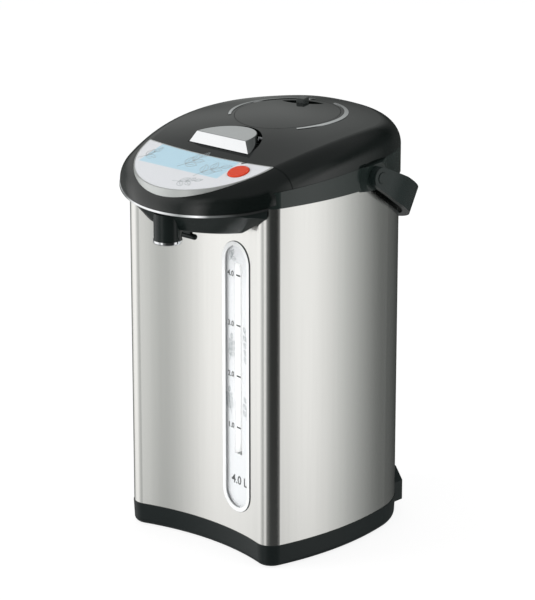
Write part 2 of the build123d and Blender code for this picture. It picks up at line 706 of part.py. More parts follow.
# ---------------------------------------------------------------- collar
with BuildPart() as collar:
    with BuildSketch(level(COLLAR_LOW)):
        add(body_plan(COLLAR_PROUD))
    extrude(amount=FAR / 10)
    for s in (-1, 1):
        with BuildSketch(side(s * (HALF_W - 4))):
            with Locations((PIVOT_Y, PIVOT_Z)):
                Circle(BOSS_R)
        with BuildSketch(side(s * BOSS_X)):
            with Locations((PIVOT_Y, PIVOT_Z)):
                Circle(BOSS_TIP_R)
        loft(ruled=True)
    box_at(-FAR, FAR, -FAR, FAR, 0, BOSS_LOW, mode=Mode.SUBTRACT)
    cut_prism(level(0), body_plan(FIT), COLLAR_LOW)
    split(bisect_by=rim_plane(), keep=Keep.BOTTOM)
    cut_prism(level(COLLAR_LOW), body_plan(COLLAR_PROUD - WALL - 0.4), DECK_LOW - COLLAR_LOW)
    cut_prism(level(DECK_TOP), body_plan(COLLAR_PROUD - WALL - 0.4), FAR / 10)
    with BuildSketch(level(COLLAR_LOW)):
        add(body_plan(FIT))
        add(body_plan(-SHEET - FIT), mode=Mode.SUBTRACT)
    extrude(amount=GROOVE_H, mode=Mode.SUBTRACT)
    upright(0, TANK_Y, COLLAR_LOW, FAR, MOUTH_R, mode=Mode.SUBTRACT)
    for x0, x1 in ((KNUCKLE_HALF + PLAY, EAR_OUT), (-EAR_OUT, -KNUCKLE_HALF - PLAY)):
        crosswise(x0, x1, HINGE_Y, HINGE_Z, KNUCKLE_R)
    crosswise(-KNUCKLE_HALF - PLAY, KNUCKLE_HALF + PLAY, HINGE_Y, HINGE_Z, KNUCKLE_R + PLAY,
              mode=Mode.SUBTRACT)
    crosswise(-EAR_OUT, EAR_OUT, HINGE_Y, HINGE_Z, HINGE_PIN_R + SHAFT_PLAY, mode=Mode.SUBTRACT)
    for s in (-1, 1):
        crosswise(s * (HALF_W - 8), s * (BOSS_X + 1), PIVOT_Y, PIVOT_Z, PIVOT_R + SHAFT_PLAY,
                  mode=Mode.SUBTRACT)
save(collar, "collar")

with BuildPart() as rim_seal:
    with BuildSketch(level(RIM_Z, TANK_Y)):
        Circle(RIM_R - 1)
        Circle(MOUTH_R + 1, mode=Mode.SUBTRACT)
    extrude(amount=SEAL_T)
save(rim_seal, "rim_seal")

with BuildPart() as hinge_pin:
    crosswise(-EAR_OUT + 0.5, EAR_OUT - 0.5, HINGE_Y, HINGE_Z, HINGE_PIN_R)
save(hinge_pin, "hinge_pin")


# ---------------------------------------------------------------- upper shell
def dome(inset=0.0):
    """The whole upper shell as one block, brought in by inset all over."""
    with BuildPart(mode=Mode.PRIVATE) as block:
        for y, top, fall in CROWN:
            edge = (CROWN_HALF, top - fall - inset)
            with BuildSketch(facing(y)):
                with BuildLine():
                    ThreePointArc((-edge[0], edge[1]), (0, top - inset), edge)
                    Polyline(edge, (CROWN_HALF, HULL_LOW), (-CROWN_HALF, HULL_LOW), (-edge[0], edge[1]))
                make_face()
        loft()
        with BuildSketch(level(HULL_LOW - 1)):
            add(upper_plan(-inset))
        extrude(amount=FAR / 2, mode=Mode.INTERSECT)
        fillet(block.faces().sort_by(Axis.Z)[-1].edges(), SHOULDER_R - inset)
    return block.part


CROWN_BLOCK = dome()
INNER_BLOCK = dome(WALL)


def crown_height(x, y):
    """Height of the upper shell over the body's x, y."""
    hits = CROWN_BLOCK.find_intersection_points(Axis((x, BODY_Y + y, 0), (0, 0, 1)))
    return max(point.Z for point, normal in hits)


def behind_seam(shift, mode):
    """Keeps (or cuts) what lies behind the joint between console and lid, moved back by shift."""
    with BuildSketch(level(0)) as sector:
        with Locations((0, SEAM_Y + SEAM_R)):
            Circle(SEAM_R - shift)
    extrude(sector.sketch, amount=FAR * 2, mode=mode)


def seam_wall(shift):
    """Upright wall along the joint, its front face moved back by shift, inside the upper shell."""
    with BuildPart(mode=Mode.PRIVATE) as wall:
        with BuildSketch(level(0)):
            with Locations((0, SEAM_Y + SEAM_R)):
                Circle(SEAM_R - shift)
                Circle(SEAM_R - shift - WALL, mode=Mode.SUBTRACT)
            with Locations((0, SEAM_Y)):
                Rectangle(FAR, FAR / 4, mode=Mode.INTERSECT)
        extrude(amount=FAR)
        add(dome(WALL / 2), mode=Mode.INTERSECT)
    return wall.part


def above(plane):
    """Keeps the top part of the open part."""
    split(bisect_by=plane, keep=Keep.TOP)


def panel_block(grow, deep, high=0.0):
    """The control panel's slab: round in plan, flared downward, straight at the lid."""
    slant = sqrt(1 + PANEL_SLOPE**2)
    with BuildPart(mode=Mode.PRIVATE) as slab:
        for drop in (-high, deep):
            radius = PANEL_R + grow + PANEL_FLARE * drop / PANEL_T
            with BuildSketch(panel_plane(drop)):
                with Locations((0, on_panel(PANEL_CENTRE_Y))):
                    Ellipse(radius * slant, radius + PANEL_WIDER, rotation=90)
        loft()
        behind_seam(-SEAM_GAP / 2 + grow, Mode.SUBTRACT)
    return slab.part


def panel_disc(x, y, high, low, radius, mode=Mode.ADD):
    """Cylinder square to the panel, between two depths under its face, over body x, y."""
    with BuildSketch(panel_plane(low)) as disc:
        with Locations((x, on_panel(y))):
            Circle(radius)
    extrude(disc.sketch, amount=low - high, mode=mode)


def panel_box(x, y, high, low, width, length):
    """Box square to the panel, between two depths under its face."""
    with BuildSketch(panel_plane(low)) as foot:
        with Locations((x, on_panel(y))):
            Rectangle(width, length)
    extrude(foot.sketch, amount=low - high)


def collar_high(gap):
    """The collar's own band round the top of the body, grown by gap."""
    with BuildPart(mode=Mode.PRIVATE) as band:
        with BuildSketch(level(COLLAR_LOW - gap)):
            add(body_plan(COLLAR_PROUD + gap))
        extrude(amount=FAR / 10)
    return band.part


def collar_room(gap):
    """Everything the body and its collar fill, grown by gap."""
    with BuildPart(mode=Mode.PRIVATE) as room:
        with BuildSketch(level(0)):
            add(body_plan(COLLAR_PROUD + gap))
            with Locations((0, CORNER_Y + FRONT_CORNER_R - 5)):
                Rectangle(FAR, FAR, align=(Align.CENTER, Align.MIN))
        extrude(amount=FAR * 2)
        split(bisect_by=rim_plane(gap), keep=Keep.BOTTOM)
    return room.part


def catch_slot():
    """Cuts the latch bolt's slot through the walls on both sides of the lid's joint."""
    box_at(-BOLT_W / 2 - PLAY, BOLT_W / 2 + PLAY, SEAM_Y - 4 - WALL, SEAM_Y + 4 + WALL,
           BOLT_Z - PLAY, BOLT_Z + BOLT_H + PLAY, mode=Mode.SUBTRACT)


# ---------------------------------------------------------------- console
with BuildPart() as console_shell:
    add(CROWN_BLOCK)
    add(INNER_BLOCK, mode=Mode.SUBTRACT)
    add(seam_wall(-SEAM_GAP / 2 - WALL))
    behind_seam(-SEAM_GAP / 2, Mode.SUBTRACT)
    above(strip_plane(STRIP_H / 2 + FIT))
    add(collar_room(FIT), mode=Mode.SUBTRACT)
    add(panel_block(FIT, PANEL_T * 2, PANEL_T), mode=Mode.SUBTRACT)
    catch_slot()
save(console_shell, "console_shell")

with BuildPart() as panel_bezel:
    add(panel_block(0, PANEL_T))
    with BuildPart(mode=Mode.PRIVATE) as hollow:
        add(panel_block(-PANEL_SKIN, PANEL_T * 2))
        split(bisect_by=panel_plane(PANEL_SKIN), keep=Keep.BOTTOM)
    add(hollow.part, mode=Mode.SUBTRACT)
    with BuildPart(mode=Mode.PRIVATE) as recess:
        add(panel_block(-LABEL_RIM, PANEL_T))
        split(bisect_by=panel_plane(LABEL_T), keep=Keep.TOP)
    add(recess.part, mode=Mode.SUBTRACT)
    panel_disc(*BUTTON, -1, PANEL_T, BUTTON_R + PLAY, mode=Mode.SUBTRACT)
    for x, y in BOARD_POSTS:
        panel_disc(x, y, PANEL_SKIN - 0.5, BOARD_AT, 2.5)
    add(collar_room(2 * FIT), mode=Mode.SUBTRACT)
    catch_slot()
save(panel_bezel, "panel_bezel")

with BuildPart() as panel_label:
    add(panel_block(-LABEL_RIM - FIT / 2, PANEL_T))
    split(bisect_by=panel_plane(LABEL_T), keep=Keep.TOP)
    panel_disc(*BUTTON, -1, PANEL_T, BUTTON_R + PLAY, mode=Mode.SUBTRACT)
save(panel_label, "panel_label")

with BuildPart() as dispense_button:
    panel_disc(*BUTTON, -BUTTON_RISE, PANEL_SKIN + PLAY, BUTTON_R)
    fillet(dispense_button.faces().sort_by(Axis.Z)[-1].edges(), 0.8)
    panel_disc(*BUTTON, PANEL_SKIN + PLAY / 2, PANEL_SKIN + PLAY / 2 + BUTTON_FLANGE, BUTTON_R + 1.6)
    panel_disc(*BUTTON, PANEL_SKIN, BOARD_AT - 3.8, 3.0)
save(dispense_button, "dispense_button")

with BuildPart() as control_board:
    panel_box(0, -105.5, BOARD_AT + FIT, BOARD_AT + FIT + BOARD_T, 108.0, 25.0)
    panel_box(*BUTTON, BOARD_AT - 2.4, BOARD_AT + FIT, 7.0, 7.0)
    panel_box(-12, -104, PANEL_SKIN + 1.5, BOARD_AT + FIT, 34.0, 14.0)
    panel_box(8, -106, BOARD_AT + BOARD_T, BOARD_AT + BOARD_T + 2.2, 12.0, 12.0)
save(control_board, "control_board")


# ---------------------------------------------------------------- beak
def hull_bowl(inset):
    """The beak's underside as a block, brought in by inset."""
    with BuildPart(mode=Mode.PRIVATE) as bowl:
        for z, y, radius in ((HULL_LOW, HULL_LOW_Y, HULL_LOW_R), (HULL_HIGH, HULL_HIGH_Y, HULL_HIGH_R)):
            with BuildSketch(level(z + inset, y)):
                Circle(radius - inset / 2)
        loft()
        if not inset:
            fillet(bowl.faces().sort_by(Axis.Z)[0].edges(), HULL_EDGE_R)
        with BuildSketch(level(0)):
            add(upper_plan(-HULL_INSET - inset))
        extrude(amount=FAR * 2, mode=Mode.INTERSECT)
    return bowl.part


with BuildPart() as beak_hull:
    add(hull_bowl(0))
    add(hull_bowl(WALL), mode=Mode.SUBTRACT)
    split(bisect_by=strip_plane(-STRIP_H / 2 - FIT), keep=Keep.BOTTOM)
    for s in (-1, 1):
        box_at(min(s * 5, s * 8), max(s * 5, s * 8), CUP_Y - 4, CUP_Y + 4, HULL_LOW + 1, CUP_AXIS_Z + 2.3)
    cut_prism(level(0), body_plan(3 * FIT), FAR * 2)
    box_at(-FAR, FAR, CORNER_Y + FRONT_REST, FAR, 0, FAR, mode=Mode.SUBTRACT)
    add(collar_high(FIT), mode=Mode.SUBTRACT)
    upright(0, SPOUT_Y, 0, STRIP_Z - STRIP_H / 2 - 1.8, SPOUT_R + FIT, mode=Mode.SUBTRACT)
    box_at(-CUP_ARM_W / 2 - PLAY, CUP_ARM_W / 2 + PLAY, CUP_Y - 5, CUP_Y + 6, 0, HULL_LOW + WALL + 1,
           mode=Mode.SUBTRACT)
    crosswise(-8, 8, CUP_Y, CUP_AXIS_Z, CUP_PIN_R + SHAFT_PLAY, mode=Mode.SUBTRACT)
save(beak_hull, "beak_hull")

with BuildPart() as chrome_strip:
    with BuildSketch(level(0)):
        add(upper_plan(STRIP_PROUD))
        add(upper_plan(STRIP_PROUD - STRIP_T), mode=Mode.SUBTRACT)
        add(body_plan(COLLAR_PROUD + 2 * FIT), mode=Mode.SUBTRACT)
        with Locations((0, CORNER_Y + FRONT_REST)):
            Rectangle(FAR, FAR / 2, align=(Align.CENTER, Align.MAX), mode=Mode.INTERSECT)
    extrude(amount=FAR)
    split(bisect_by=strip_plane(STRIP_H / 2), keep=Keep.BOTTOM)
    split(bisect_by=strip_plane(-STRIP_H / 2), keep=Keep.TOP)
save(chrome_strip, "chrome_strip")

spout_top = STRIP_Z - STRIP_H / 2 - 2.0
with BuildPart() as spout_nozzle:
    upright(0, SPOUT_Y, SPOUT_LOW, spout_top, SPOUT_R)
    with BuildSketch(facing(SPOUT_Y)):
        with Locations((0, HOSE_HIGH)):
            Circle(TUBE_R)
    extrude(amount=-SPOUT_R - HOSE_LAP)
    upright(0, SPOUT_Y, SPOUT_LOW, HOSE_HIGH + 1, SPOUT_BORE_R, mode=Mode.SUBTRACT)
    with BuildSketch(facing(SPOUT_Y)):
        with Locations((0, HOSE_HIGH)):
            Circle(TUBE_BORE_R)
    extrude(amount=-SPOUT_R - HOSE_LAP, mode=Mode.SUBTRACT)
save(spout_nozzle, "spout_nozzle")

with BuildPart() as spout_ring:
    upright(0, SPOUT_Y, SPOUT_LOW - SPOUT_RING_H, SPOUT_LOW, SPOUT_R + 0.5)
    fillet(spout_ring.faces().sort_by(Axis.Z)[0].edges(), 1.2)
    upright(0, SPOUT_Y, SPOUT_LOW - SPOUT_RING_H, SPOUT_LOW, SPOUT_BORE_R + 1.5, mode=Mode.SUBTRACT)
save(spout_ring, "spout_ring")

with BuildPart() as cup_lever:
    crosswise(-CUP_BAR_HALF, CUP_BAR_HALF, CUP_Y, CUP_BAR_Z, CUP_BAR_R)
    fillet(cup_lever.faces().filter_by(Axis.X).edges(), CUP_BAR_R - CUP_BAR_FLAT)
    box_at(-CUP_ARM_W / 2, CUP_ARM_W / 2, CUP_Y - 1.6, CUP_Y + 1.6, CUP_BAR_Z, CUP_AXIS_Z)
    crosswise(-CUP_ARM_W / 2, CUP_ARM_W / 2, CUP_Y, CUP_AXIS_Z, CUP_PIN_R + 1.1)
    crosswise(-9, 9, CUP_Y, CUP_AXIS_Z, CUP_PIN_R + SHAFT_PLAY, mode=Mode.SUBTRACT)
save(cup_lever, "cup_lever")

with BuildPart() as cup_pin:
    crosswise(-8, 8, CUP_Y, CUP_AXIS_Z, CUP_PIN_R)
save(cup_pin, "cup_pin")


# ---------------------------------------------------------------- lid
def crescents(grow):
    """Two crescents beside the pump plate, thickest in the middle."""
    with BuildSketch(mode=Mode.PRIVATE) as pair:
        for middle in (TRIM_TURN, 180.0 - TRIM_TURN):
            with BuildSketch(mode=Mode.PRIVATE) as one:
                with PolarLocations(TRIM_SHIFT, 1, start_angle=middle):
                    Circle(TRIM_R + TRIM_W - TRIM_SHIFT + grow)
                Circle(TRIM_R - grow, mode=Mode.SUBTRACT)
                add(wedge(middle, TRIM_HALF_ANGLE), mode=Mode.INTERSECT)
            add(one.sketch)
    return pair.sketch


def wedge(middle, half):
    """Sector about the middle angle, half to each side."""
    rays = [(FAR * cos(radians(middle + t)), FAR * sin(radians(middle + t))) for t in (-half, half)]
    with BuildSketch(mode=Mode.PRIVATE) as shape:
        with BuildLine():
            Polyline((0, 0), *rays, close=True)
        make_face()
    return shape.sketch


def lever_block(grow=0.0, drop=0.0):
    """The release lever as a block, sloping in to a flat top."""
    with BuildPart(mode=Mode.PRIVATE) as block:
        with BuildSketch(level(LEVER_LOW - drop, LEVER_FRONT_Y)):
            add(half_ellipse(LEVER_W + grow, LEVER_LEN + grow, grow))
        with BuildSketch(ramp(LEVER_TOP - drop, LEVER_TOP_SLOPE, LEVER_TOP_Y)):
            add(half_ellipse(LEVER_TOP_W + grow, LEVER_TOP_LEN + grow, grow))
        loft()
    return block.part


def half_ellipse(half_width, length, front):
    """Straight edge at front before the centre line (behind it if negative), half an ellipse to the back."""
    with BuildSketch(mode=Mode.PRIVATE) as shape:
        Ellipse(half_width, length)
        with Locations((0, max(-front, 0))):
            Rectangle(FAR, FAR, align=(Align.CENTER, Align.MIN), mode=Mode.INTERSECT)
        if front > 0:
            Rectangle(2 * half_width, front, align=(Align.CENTER, Align.MAX))
    return shape.sketch


with BuildPart() as lid_shell:
    add(CROWN_BLOCK)
    add(INNER_BLOCK, mode=Mode.SUBTRACT)
    add(seam_wall(SEAM_GAP / 2))
    above(rim_plane(2 * FIT))
    with BuildPart(mode=Mode.PRIVATE) as inside:
        upright(0, DISC_Y, WELL_FLOOR - WELL_WALL, FAR, DISC_R + PLAY + WELL_WALL)
        with BuildSketch(level(POCKET_LOW - WELL_WALL, LEVER_FRONT_Y)):
            add(half_ellipse(LEVER_W + LEVER_GAP + WELL_WALL, LEVER_LEN + LEVER_GAP + WELL_WALL,
                             LEVER_GAP + WELL_WALL))
        extrude(amount=FAR / 10)
        for s in (-1, 1):
            for x, y in LID_SCREWS:
                upright(s * x, y, PAN_Z + PAN_T + FIT, FAR, 4.0)
            box_at(min(s * 12.4, s * 14.4), max(s * 12.4, s * 14.4), SEAM_Y + 4, SEAM_Y + 22,
                   POCKET_LOW - 14, POCKET_LOW)
        add(dome(WALL / 2), mode=Mode.INTERSECT)
    add(inside.part)
    crosswise(-KNUCKLE_HALF, KNUCKLE_HALF, HINGE_Y, HINGE_Z, KNUCKLE_R)
    box_at(-KNUCKLE_HALF, KNUCKLE_HALF, BACK_Y - 1.1, HINGE_Y, HINGE_Z + 1.6, HINGE_Z + KNUCKLE_R)
    behind_seam(SEAM_GAP / 2, Mode.INTERSECT)
    upright(0, DISC_Y, WELL_FLOOR, FAR, DISC_R + PLAY, mode=Mode.SUBTRACT)
    upright(0, DISC_Y, 0, FAR, 5.0, mode=Mode.SUBTRACT)
    with BuildSketch(level(POCKET_LOW, LEVER_FRONT_Y)):
        add(half_ellipse(LEVER_W + LEVER_GAP, LEVER_LEN + LEVER_GAP, LEVER_GAP))
    extrude(amount=FAR / 10, mode=Mode.SUBTRACT)
    with BuildPart(mode=Mode.PRIVATE) as groove:
        with BuildSketch(level(0, DISC_Y)):
            add(crescents(0.05))
        extrude(amount=FAR)
        add(dome(1.05), mode=Mode.SUBTRACT)
    add(groove.part, mode=Mode.SUBTRACT)
    for x0, x1 in ((KNUCKLE_HALF, EAR_OUT + PLAY), (-EAR_OUT - PLAY, -KNUCKLE_HALF)):
        crosswise(x0, x1, HINGE_Y, HINGE_Z, KNUCKLE_R + PLAY, mode=Mode.SUBTRACT)
    crosswise(-KNUCKLE_HALF, KNUCKLE_HALF, HINGE_Y, HINGE_Z, HINGE_PIN_R + SHAFT_PLAY, mode=Mode.SUBTRACT)
    for s in (-1, 1):
        for x, y in LID_SCREWS:
            upright(s * x, y, 0, PAN_Z + PAN_T + 9, SCREW_R, mode=Mode.SUBTRACT)
    crosswise(-27, 27, LEVER_PIN_Y, LEVER_PIN_Z, LEVER_PIN_R + 0.02, mode=Mode.SUBTRACT)
    catch_slot()
save(lid_shell, "lid_shell")

with BuildPart() as lid_trim_arcs:
    with BuildSketch(level(0, DISC_Y)):
        add(crescents(0))
    extrude(amount=FAR)
    add(dome(-0.4), mode=Mode.INTERSECT)
    add(dome(1.0), mode=Mode.SUBTRACT)
save(lid_trim_arcs, "lid_trim_arcs")

with BuildPart() as lid_inner:
    with BuildSketch(level(PAN_Z)):
        add(body_plan(COLLAR_PROUD - WALL - 1.0))
    extrude(amount=FAR / 10)
    split(bisect_by=rim_plane(FIT), keep=Keep.BOTTOM)
    with BuildSketch(rim_plane(FIT)):
        Rectangle(FAR, FAR)
    extrude(amount=WALL)
    with BuildSketch(level(0)):
        add(body_plan(COLLAR_PROUD - WALL - 3 * FIT))
    extrude(amount=FAR * 2, mode=Mode.INTERSECT)
    cut_prism(level(PAN_Z + PAN_T), body_plan(COLLAR_PROUD - WALL - 3.0), FAR / 10)
    behind_seam(SEAM_GAP / 2 + WALL + FIT, Mode.INTERSECT)
    add(dome(WALL + FIT), mode=Mode.INTERSECT)
    upright(0, TANK_Y, PLUG_LOW, PAN_Z + PAN_T, PLUG_R)
    fillet(lid_inner.faces().sort_by(Axis.Z)[0].edges(), 3)
    upright(0, TANK_Y, PLUG_LOW + PAN_T, FAR, PLUG_R - PAN_T, mode=Mode.SUBTRACT)
    for s in (-1, 1):
        for x, y in LID_SCREWS:
            upright(s * x, y, 0, FAR, SCREW_R + FIT, mode=Mode.SUBTRACT)
save(lid_inner, "lid_inner")

with BuildPart() as lid_screws:
    for s in (-1, 1):
        for x, y in LID_SCREWS:
            upright(s * x, y, PAN_Z - 1.6, PAN_Z, SCREW_HEAD_R)
            upright(s * x, y, PAN_Z, PAN_Z + PAN_T + 8, SCREW_R)
save(lid_screws, "lid_screws")

with BuildPart() as lid_gasket:
    with BuildSketch(level(DECK_TOP + GASKET_CLEAR, TANK_Y)):
        Circle(GASKET_R)
        Circle(GASKET_R - GASKET_W, mode=Mode.SUBTRACT)
    extrude(amount=PAN_Z - DECK_TOP - GASKET_CLEAR)
    fillet(lid_gasket.faces().sort_by(Axis.Z)[0].edges(), 0.5)
save(lid_gasket, "lid_gasket")

with BuildPart() as steam_valve:
    upright(0, TANK_Y + VALVE_AT, PLUG_LOW - VALVE_H, PLUG_LOW, VALVE_R)
    fillet(steam_valve.faces().sort_by(Axis.Z)[0].edges(), 1.0)
    with BuildSketch(level(PLUG_LOW - VALVE_H, TANK_Y + VALVE_AT)):
        with PolarLocations(VALVE_R / 2, 6):
            Circle(1.2)
    extrude(amount=VALVE_H / 2, mode=Mode.SUBTRACT)
save(steam_valve, "steam_valve")


# ---------------------------------------------------------------- pump plate and lock
def lock_recess():
    """Lens-shaped recess near the plate's rim."""
    chord = LOCK_RECESS_R * sin(radians(LOCK_HALF_ANGLE))
    reach = LOCK_RECESS_R * cos(radians(LOCK_HALF_ANGLE)) - LOCK_RECESS_IN
    arc_r = (chord**2 + reach**2) / (2 * reach)
    with BuildSketch(mode=Mode.PRIVATE) as shape:
        Circle(LOCK_RECESS_R)
        with PolarLocations(LOCK_RECESS_IN + arc_r, 1, start_angle=LOCK_ANGLE):
            Circle(arc_r, mode=Mode.INTERSECT)
    return shape.sketch


def at_lock():
    """The knob's place, about the plate's axis."""
    return PolarLocations(LOCK_R, 1, start_angle=LOCK_ANGLE)


BELLOWS_TOP = WELL_FLOOR + DISC_TRAVEL + 9.5
with BuildPart() as pump_disc:
    upright(0, DISC_Y, WELL_FLOOR + DISC_TRAVEL + 1.0, FAR, DISC_R)
    add(CROWN_BLOCK, mode=Mode.INTERSECT)
    with BuildPart(mode=Mode.PRIVATE) as hollow:
        upright(0, DISC_Y, 0, FAR, DISC_R - 2)
        add(dome(DISC_T), mode=Mode.INTERSECT)
        with BuildPart(mode=Mode.PRIVATE) as pad:
            with BuildSketch(level(0, DISC_Y)):
                offset(lock_recess(), 2.0)
            extrude(amount=FAR)
            add(dome(LOCK_DEPTH + 2.0), mode=Mode.SUBTRACT)
        add(pad.part, mode=Mode.SUBTRACT)
        upright(0, DISC_Y, BELLOWS_TOP + 0.3, FAR, 9.0, mode=Mode.SUBTRACT)
    add(hollow.part, mode=Mode.SUBTRACT)
    with BuildPart(mode=Mode.PRIVATE) as recess:
        with BuildSketch(level(0, DISC_Y)):
            add(lock_recess())
        extrude(amount=FAR)
        add(dome(LOCK_DEPTH), mode=Mode.SUBTRACT)
    add(recess.part, mode=Mode.SUBTRACT)
    with BuildSketch(level(0, DISC_Y)):
        Circle(LOCK_R + LOCK_STEM_R + PLAY)
        Circle(LOCK_R - LOCK_STEM_R - PLAY, mode=Mode.SUBTRACT)
        add(wedge(LOCK_ANGLE, LOCK_SWING + 5.0), mode=Mode.INTERSECT)
    extrude(amount=FAR, mode=Mode.SUBTRACT)
save(pump_disc, "pump_disc")

LOCK_FLOOR = crown_height(LOCK_R * cos(radians(LOCK_ANGLE)), DISC_Y + LOCK_R * sin(radians(LOCK_ANGLE)))
LOCK_FLOOR -= LOCK_DEPTH
LOCK_FOOT = LOCK_FLOOR - 2.0 - PLAY - 1.4
with BuildPart() as lock_knob:
    with BuildSketch(level(LOCK_FLOOR - 2, DISC_Y)):
        with at_lock():
            RectangleRounded(LOCK_LEN, LOCK_W, 1.0)
    extrude(amount=2 + LOCK_RISE)
    chamfer(lock_knob.faces().sort_by(Axis.Z)[-1].edges(), 0.7)
    add(dome(LOCK_DEPTH - LOCK_CLEAR), mode=Mode.SUBTRACT)
    with BuildSketch(level(LOCK_FOOT, DISC_Y)):
        with at_lock():
            Circle(LOCK_STEM_R)
    extrude(amount=LOCK_FLOOR + 1 - LOCK_FOOT)
    with BuildSketch(level(LOCK_FOOT, DISC_Y)):
        with at_lock():
            Circle(LOCK_STEM_R + 1.4)
    extrude(amount=1.4)
save(lock_knob, "lock_knob")

with BuildPart() as bellows:
    fold = (BELLOWS_TOP - WELL_FLOOR - 2) / BELLOWS_FOLDS / 2
    ups = [(BELLOWS_R - (i % 2) * 6.0, WELL_FLOOR + 1 + i * fold) for i in range(2 * BELLOWS_FOLDS + 1)]
    with BuildSketch(Plane(origin=(0, BODY_Y + DISC_Y, 0), x_dir=(1, 0, 0), z_dir=(0, -1, 0))):
        with BuildLine():
            Polyline(*ups, (BELLOWS_R, BELLOWS_TOP), (0, BELLOWS_TOP), (0, BELLOWS_TOP - 1),
                     *[(x - 1, z) for x, z in reversed(ups)], (BELLOWS_R - 8, WELL_FLOOR + 1),
                     (BELLOWS_R - 8, WELL_FLOOR + FIT), (BELLOWS_R, WELL_FLOOR + FIT), close=True)
        make_face()
    revolve(axis=Axis((0, BODY_Y + DISC_Y, 0), (0, 0, 1)))
save(bellows, "bellows")

# ---------------------------------------------------------------- lid release
with BuildPart() as lid_lever:
    add(lever_block())
    fillet(lid_lever.faces().sort_by(Axis.Z)[-1].edges(), 1.0)
    add(lever_block(-LEVER_SKIN, LEVER_SKIN), mode=Mode.SUBTRACT)
    for s in (-1, 1):
        box_at(min(s * 8, s * 10), max(s * 8, s * 10), LEVER_TOP_Y + LEVER_SKIN / 2,
               LEVER_PIN_Y + LEVER_RIB_END, LEVER_LOW, LEVER_TOP - 1)
    box_at(-FAR, FAR, LEVER_PIN_Y - 4, FAR, 0, LEVER_PIN_Z - LEVER_HEEL, mode=Mode.SUBTRACT)
    crosswise(-30, 30, LEVER_PIN_Y, LEVER_PIN_Z, LEVER_PIN_R + SHAFT_PLAY, mode=Mode.SUBTRACT)
save(lid_lever, "lid_lever")

with BuildPart() as lever_pin:
    crosswise(-22, 22, LEVER_PIN_Y, LEVER_PIN_Z, LEVER_PIN_R)
save(lever_pin, "lever_pin")

with BuildPart() as latch_bolt:
    box_at(-BOLT_W / 2, BOLT_W / 2, SEAM_Y - 2.4, SEAM_Y - 2.4 + BOLT_LEN, BOLT_Z, BOLT_Z + BOLT_H)
    chamfer(latch_bolt.edges().filter_by(Axis.X).group_by(Axis.Y)[0].sort_by(Axis.Z)[0], 2.0)
    box_at(-4, 4, SEAM_Y + 14, SEAM_Y + 18, BOLT_Z + BOLT_H, POCKET_LOW - WELL_WALL - 0.5)
save(latch_bolt, "latch_bolt")

# ---------------------------------------------------------------- carry handle
swing_plane = Plane(origin=(0, BODY_Y + PIVOT_Y, PIVOT_Z), x_dir=(1, 0, 0),
                    z_dir=(0, sin(radians(DROOP)), cos(radians(DROOP))))
arm_plane = Plane(origin=(-FAR / 2, BODY_Y + PIVOT_Y, PIVOT_Z),
                  x_dir=(0, cos(radians(DROOP)), -sin(radians(DROOP))), z_dir=(1, 0, 0))


def bail_outline(inset):
    """The bail seen square to its plane: two arms and a round end."""
    with BuildSketch(mode=Mode.PRIVATE) as shape:
        with Locations((0, BAIL_LEN - inset)):
            Rectangle(2 * (BAIL_HALF - inset), 2 * BAIL_LEN, align=(Align.CENTER, Align.MAX))
        fillet(shape.vertices().group_by(Axis.Y)[-1], BAIL_CORNER_R - inset)
    return shape.sketch


with BuildPart() as handle_bail:
    with BuildSketch(swing_plane.offset(-GRIP_W / 2)):
        add(bail_outline(0))
        add(bail_outline(ARM_T), mode=Mode.SUBTRACT)
    extrude(amount=GRIP_W)
    with BuildSketch(arm_plane):
        Circle(ARM_END_R)
        with BuildLine():
            Polyline((0, ARM_END_R), (GRIP_AT, GRIP_W / 2), (2 * BAIL_LEN, GRIP_W / 2),
                     (2 * BAIL_LEN, -GRIP_W / 2), (GRIP_AT, -GRIP_W / 2), (0, -ARM_END_R), close=True)
        make_face()
    extrude(amount=FAR, mode=Mode.INTERSECT)
    crosswise(-FAR / 2, FAR / 2, PIVOT_Y, PIVOT_Z, PIVOT_R + SHAFT_PLAY, mode=Mode.SUBTRACT)
    for s in (-1, 1):
        crosswise(min(s * (BAIL_HALF - 1.5), s * FAR / 2), max(s * (BAIL_HALF - 1.5), s * FAR / 2),
                  PIVOT_Y, PIVOT_Z, PIVOT_HEAD_R + PLAY, mode=Mode.SUBTRACT)
save(handle_bail, "handle_bail")

with BuildPart() as handle_pivots:
    for s in (-1, 1):
        crosswise(min(s * (HALF_W - 6), s * (BAIL_HALF - 1.4)), max(s * (HALF_W - 6), s * (BAIL_HALF - 1.4)),
                  PIVOT_Y, PIVOT_Z, PIVOT_R)
        crosswise(min(s * (BAIL_HALF - 1.4), s * (BAIL_HALF + 0.6)),
                  max(s * (BAIL_HALF - 1.4), s * (BAIL_HALF + 0.6)), PIVOT_Y, PIVOT_Z, PIVOT_HEAD_R)
save(handle_pivots, "handle_pivots")
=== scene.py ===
# %% [markdown]
# # An electric thermo pot
#
# A tall hot water pot: a brushed steel skin with a dished front, a gloss black lid, a beak that
# carries the control panel and the spout, a sight gauge and a swinging handle.
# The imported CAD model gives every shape, size and joint. This script gives each surface its
# real finish, adds the printing and the small details, and sets up the studio.

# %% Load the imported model
import bpy
from math import cos, pi, radians, sin, sqrt
from mathutils import Matrix, Vector


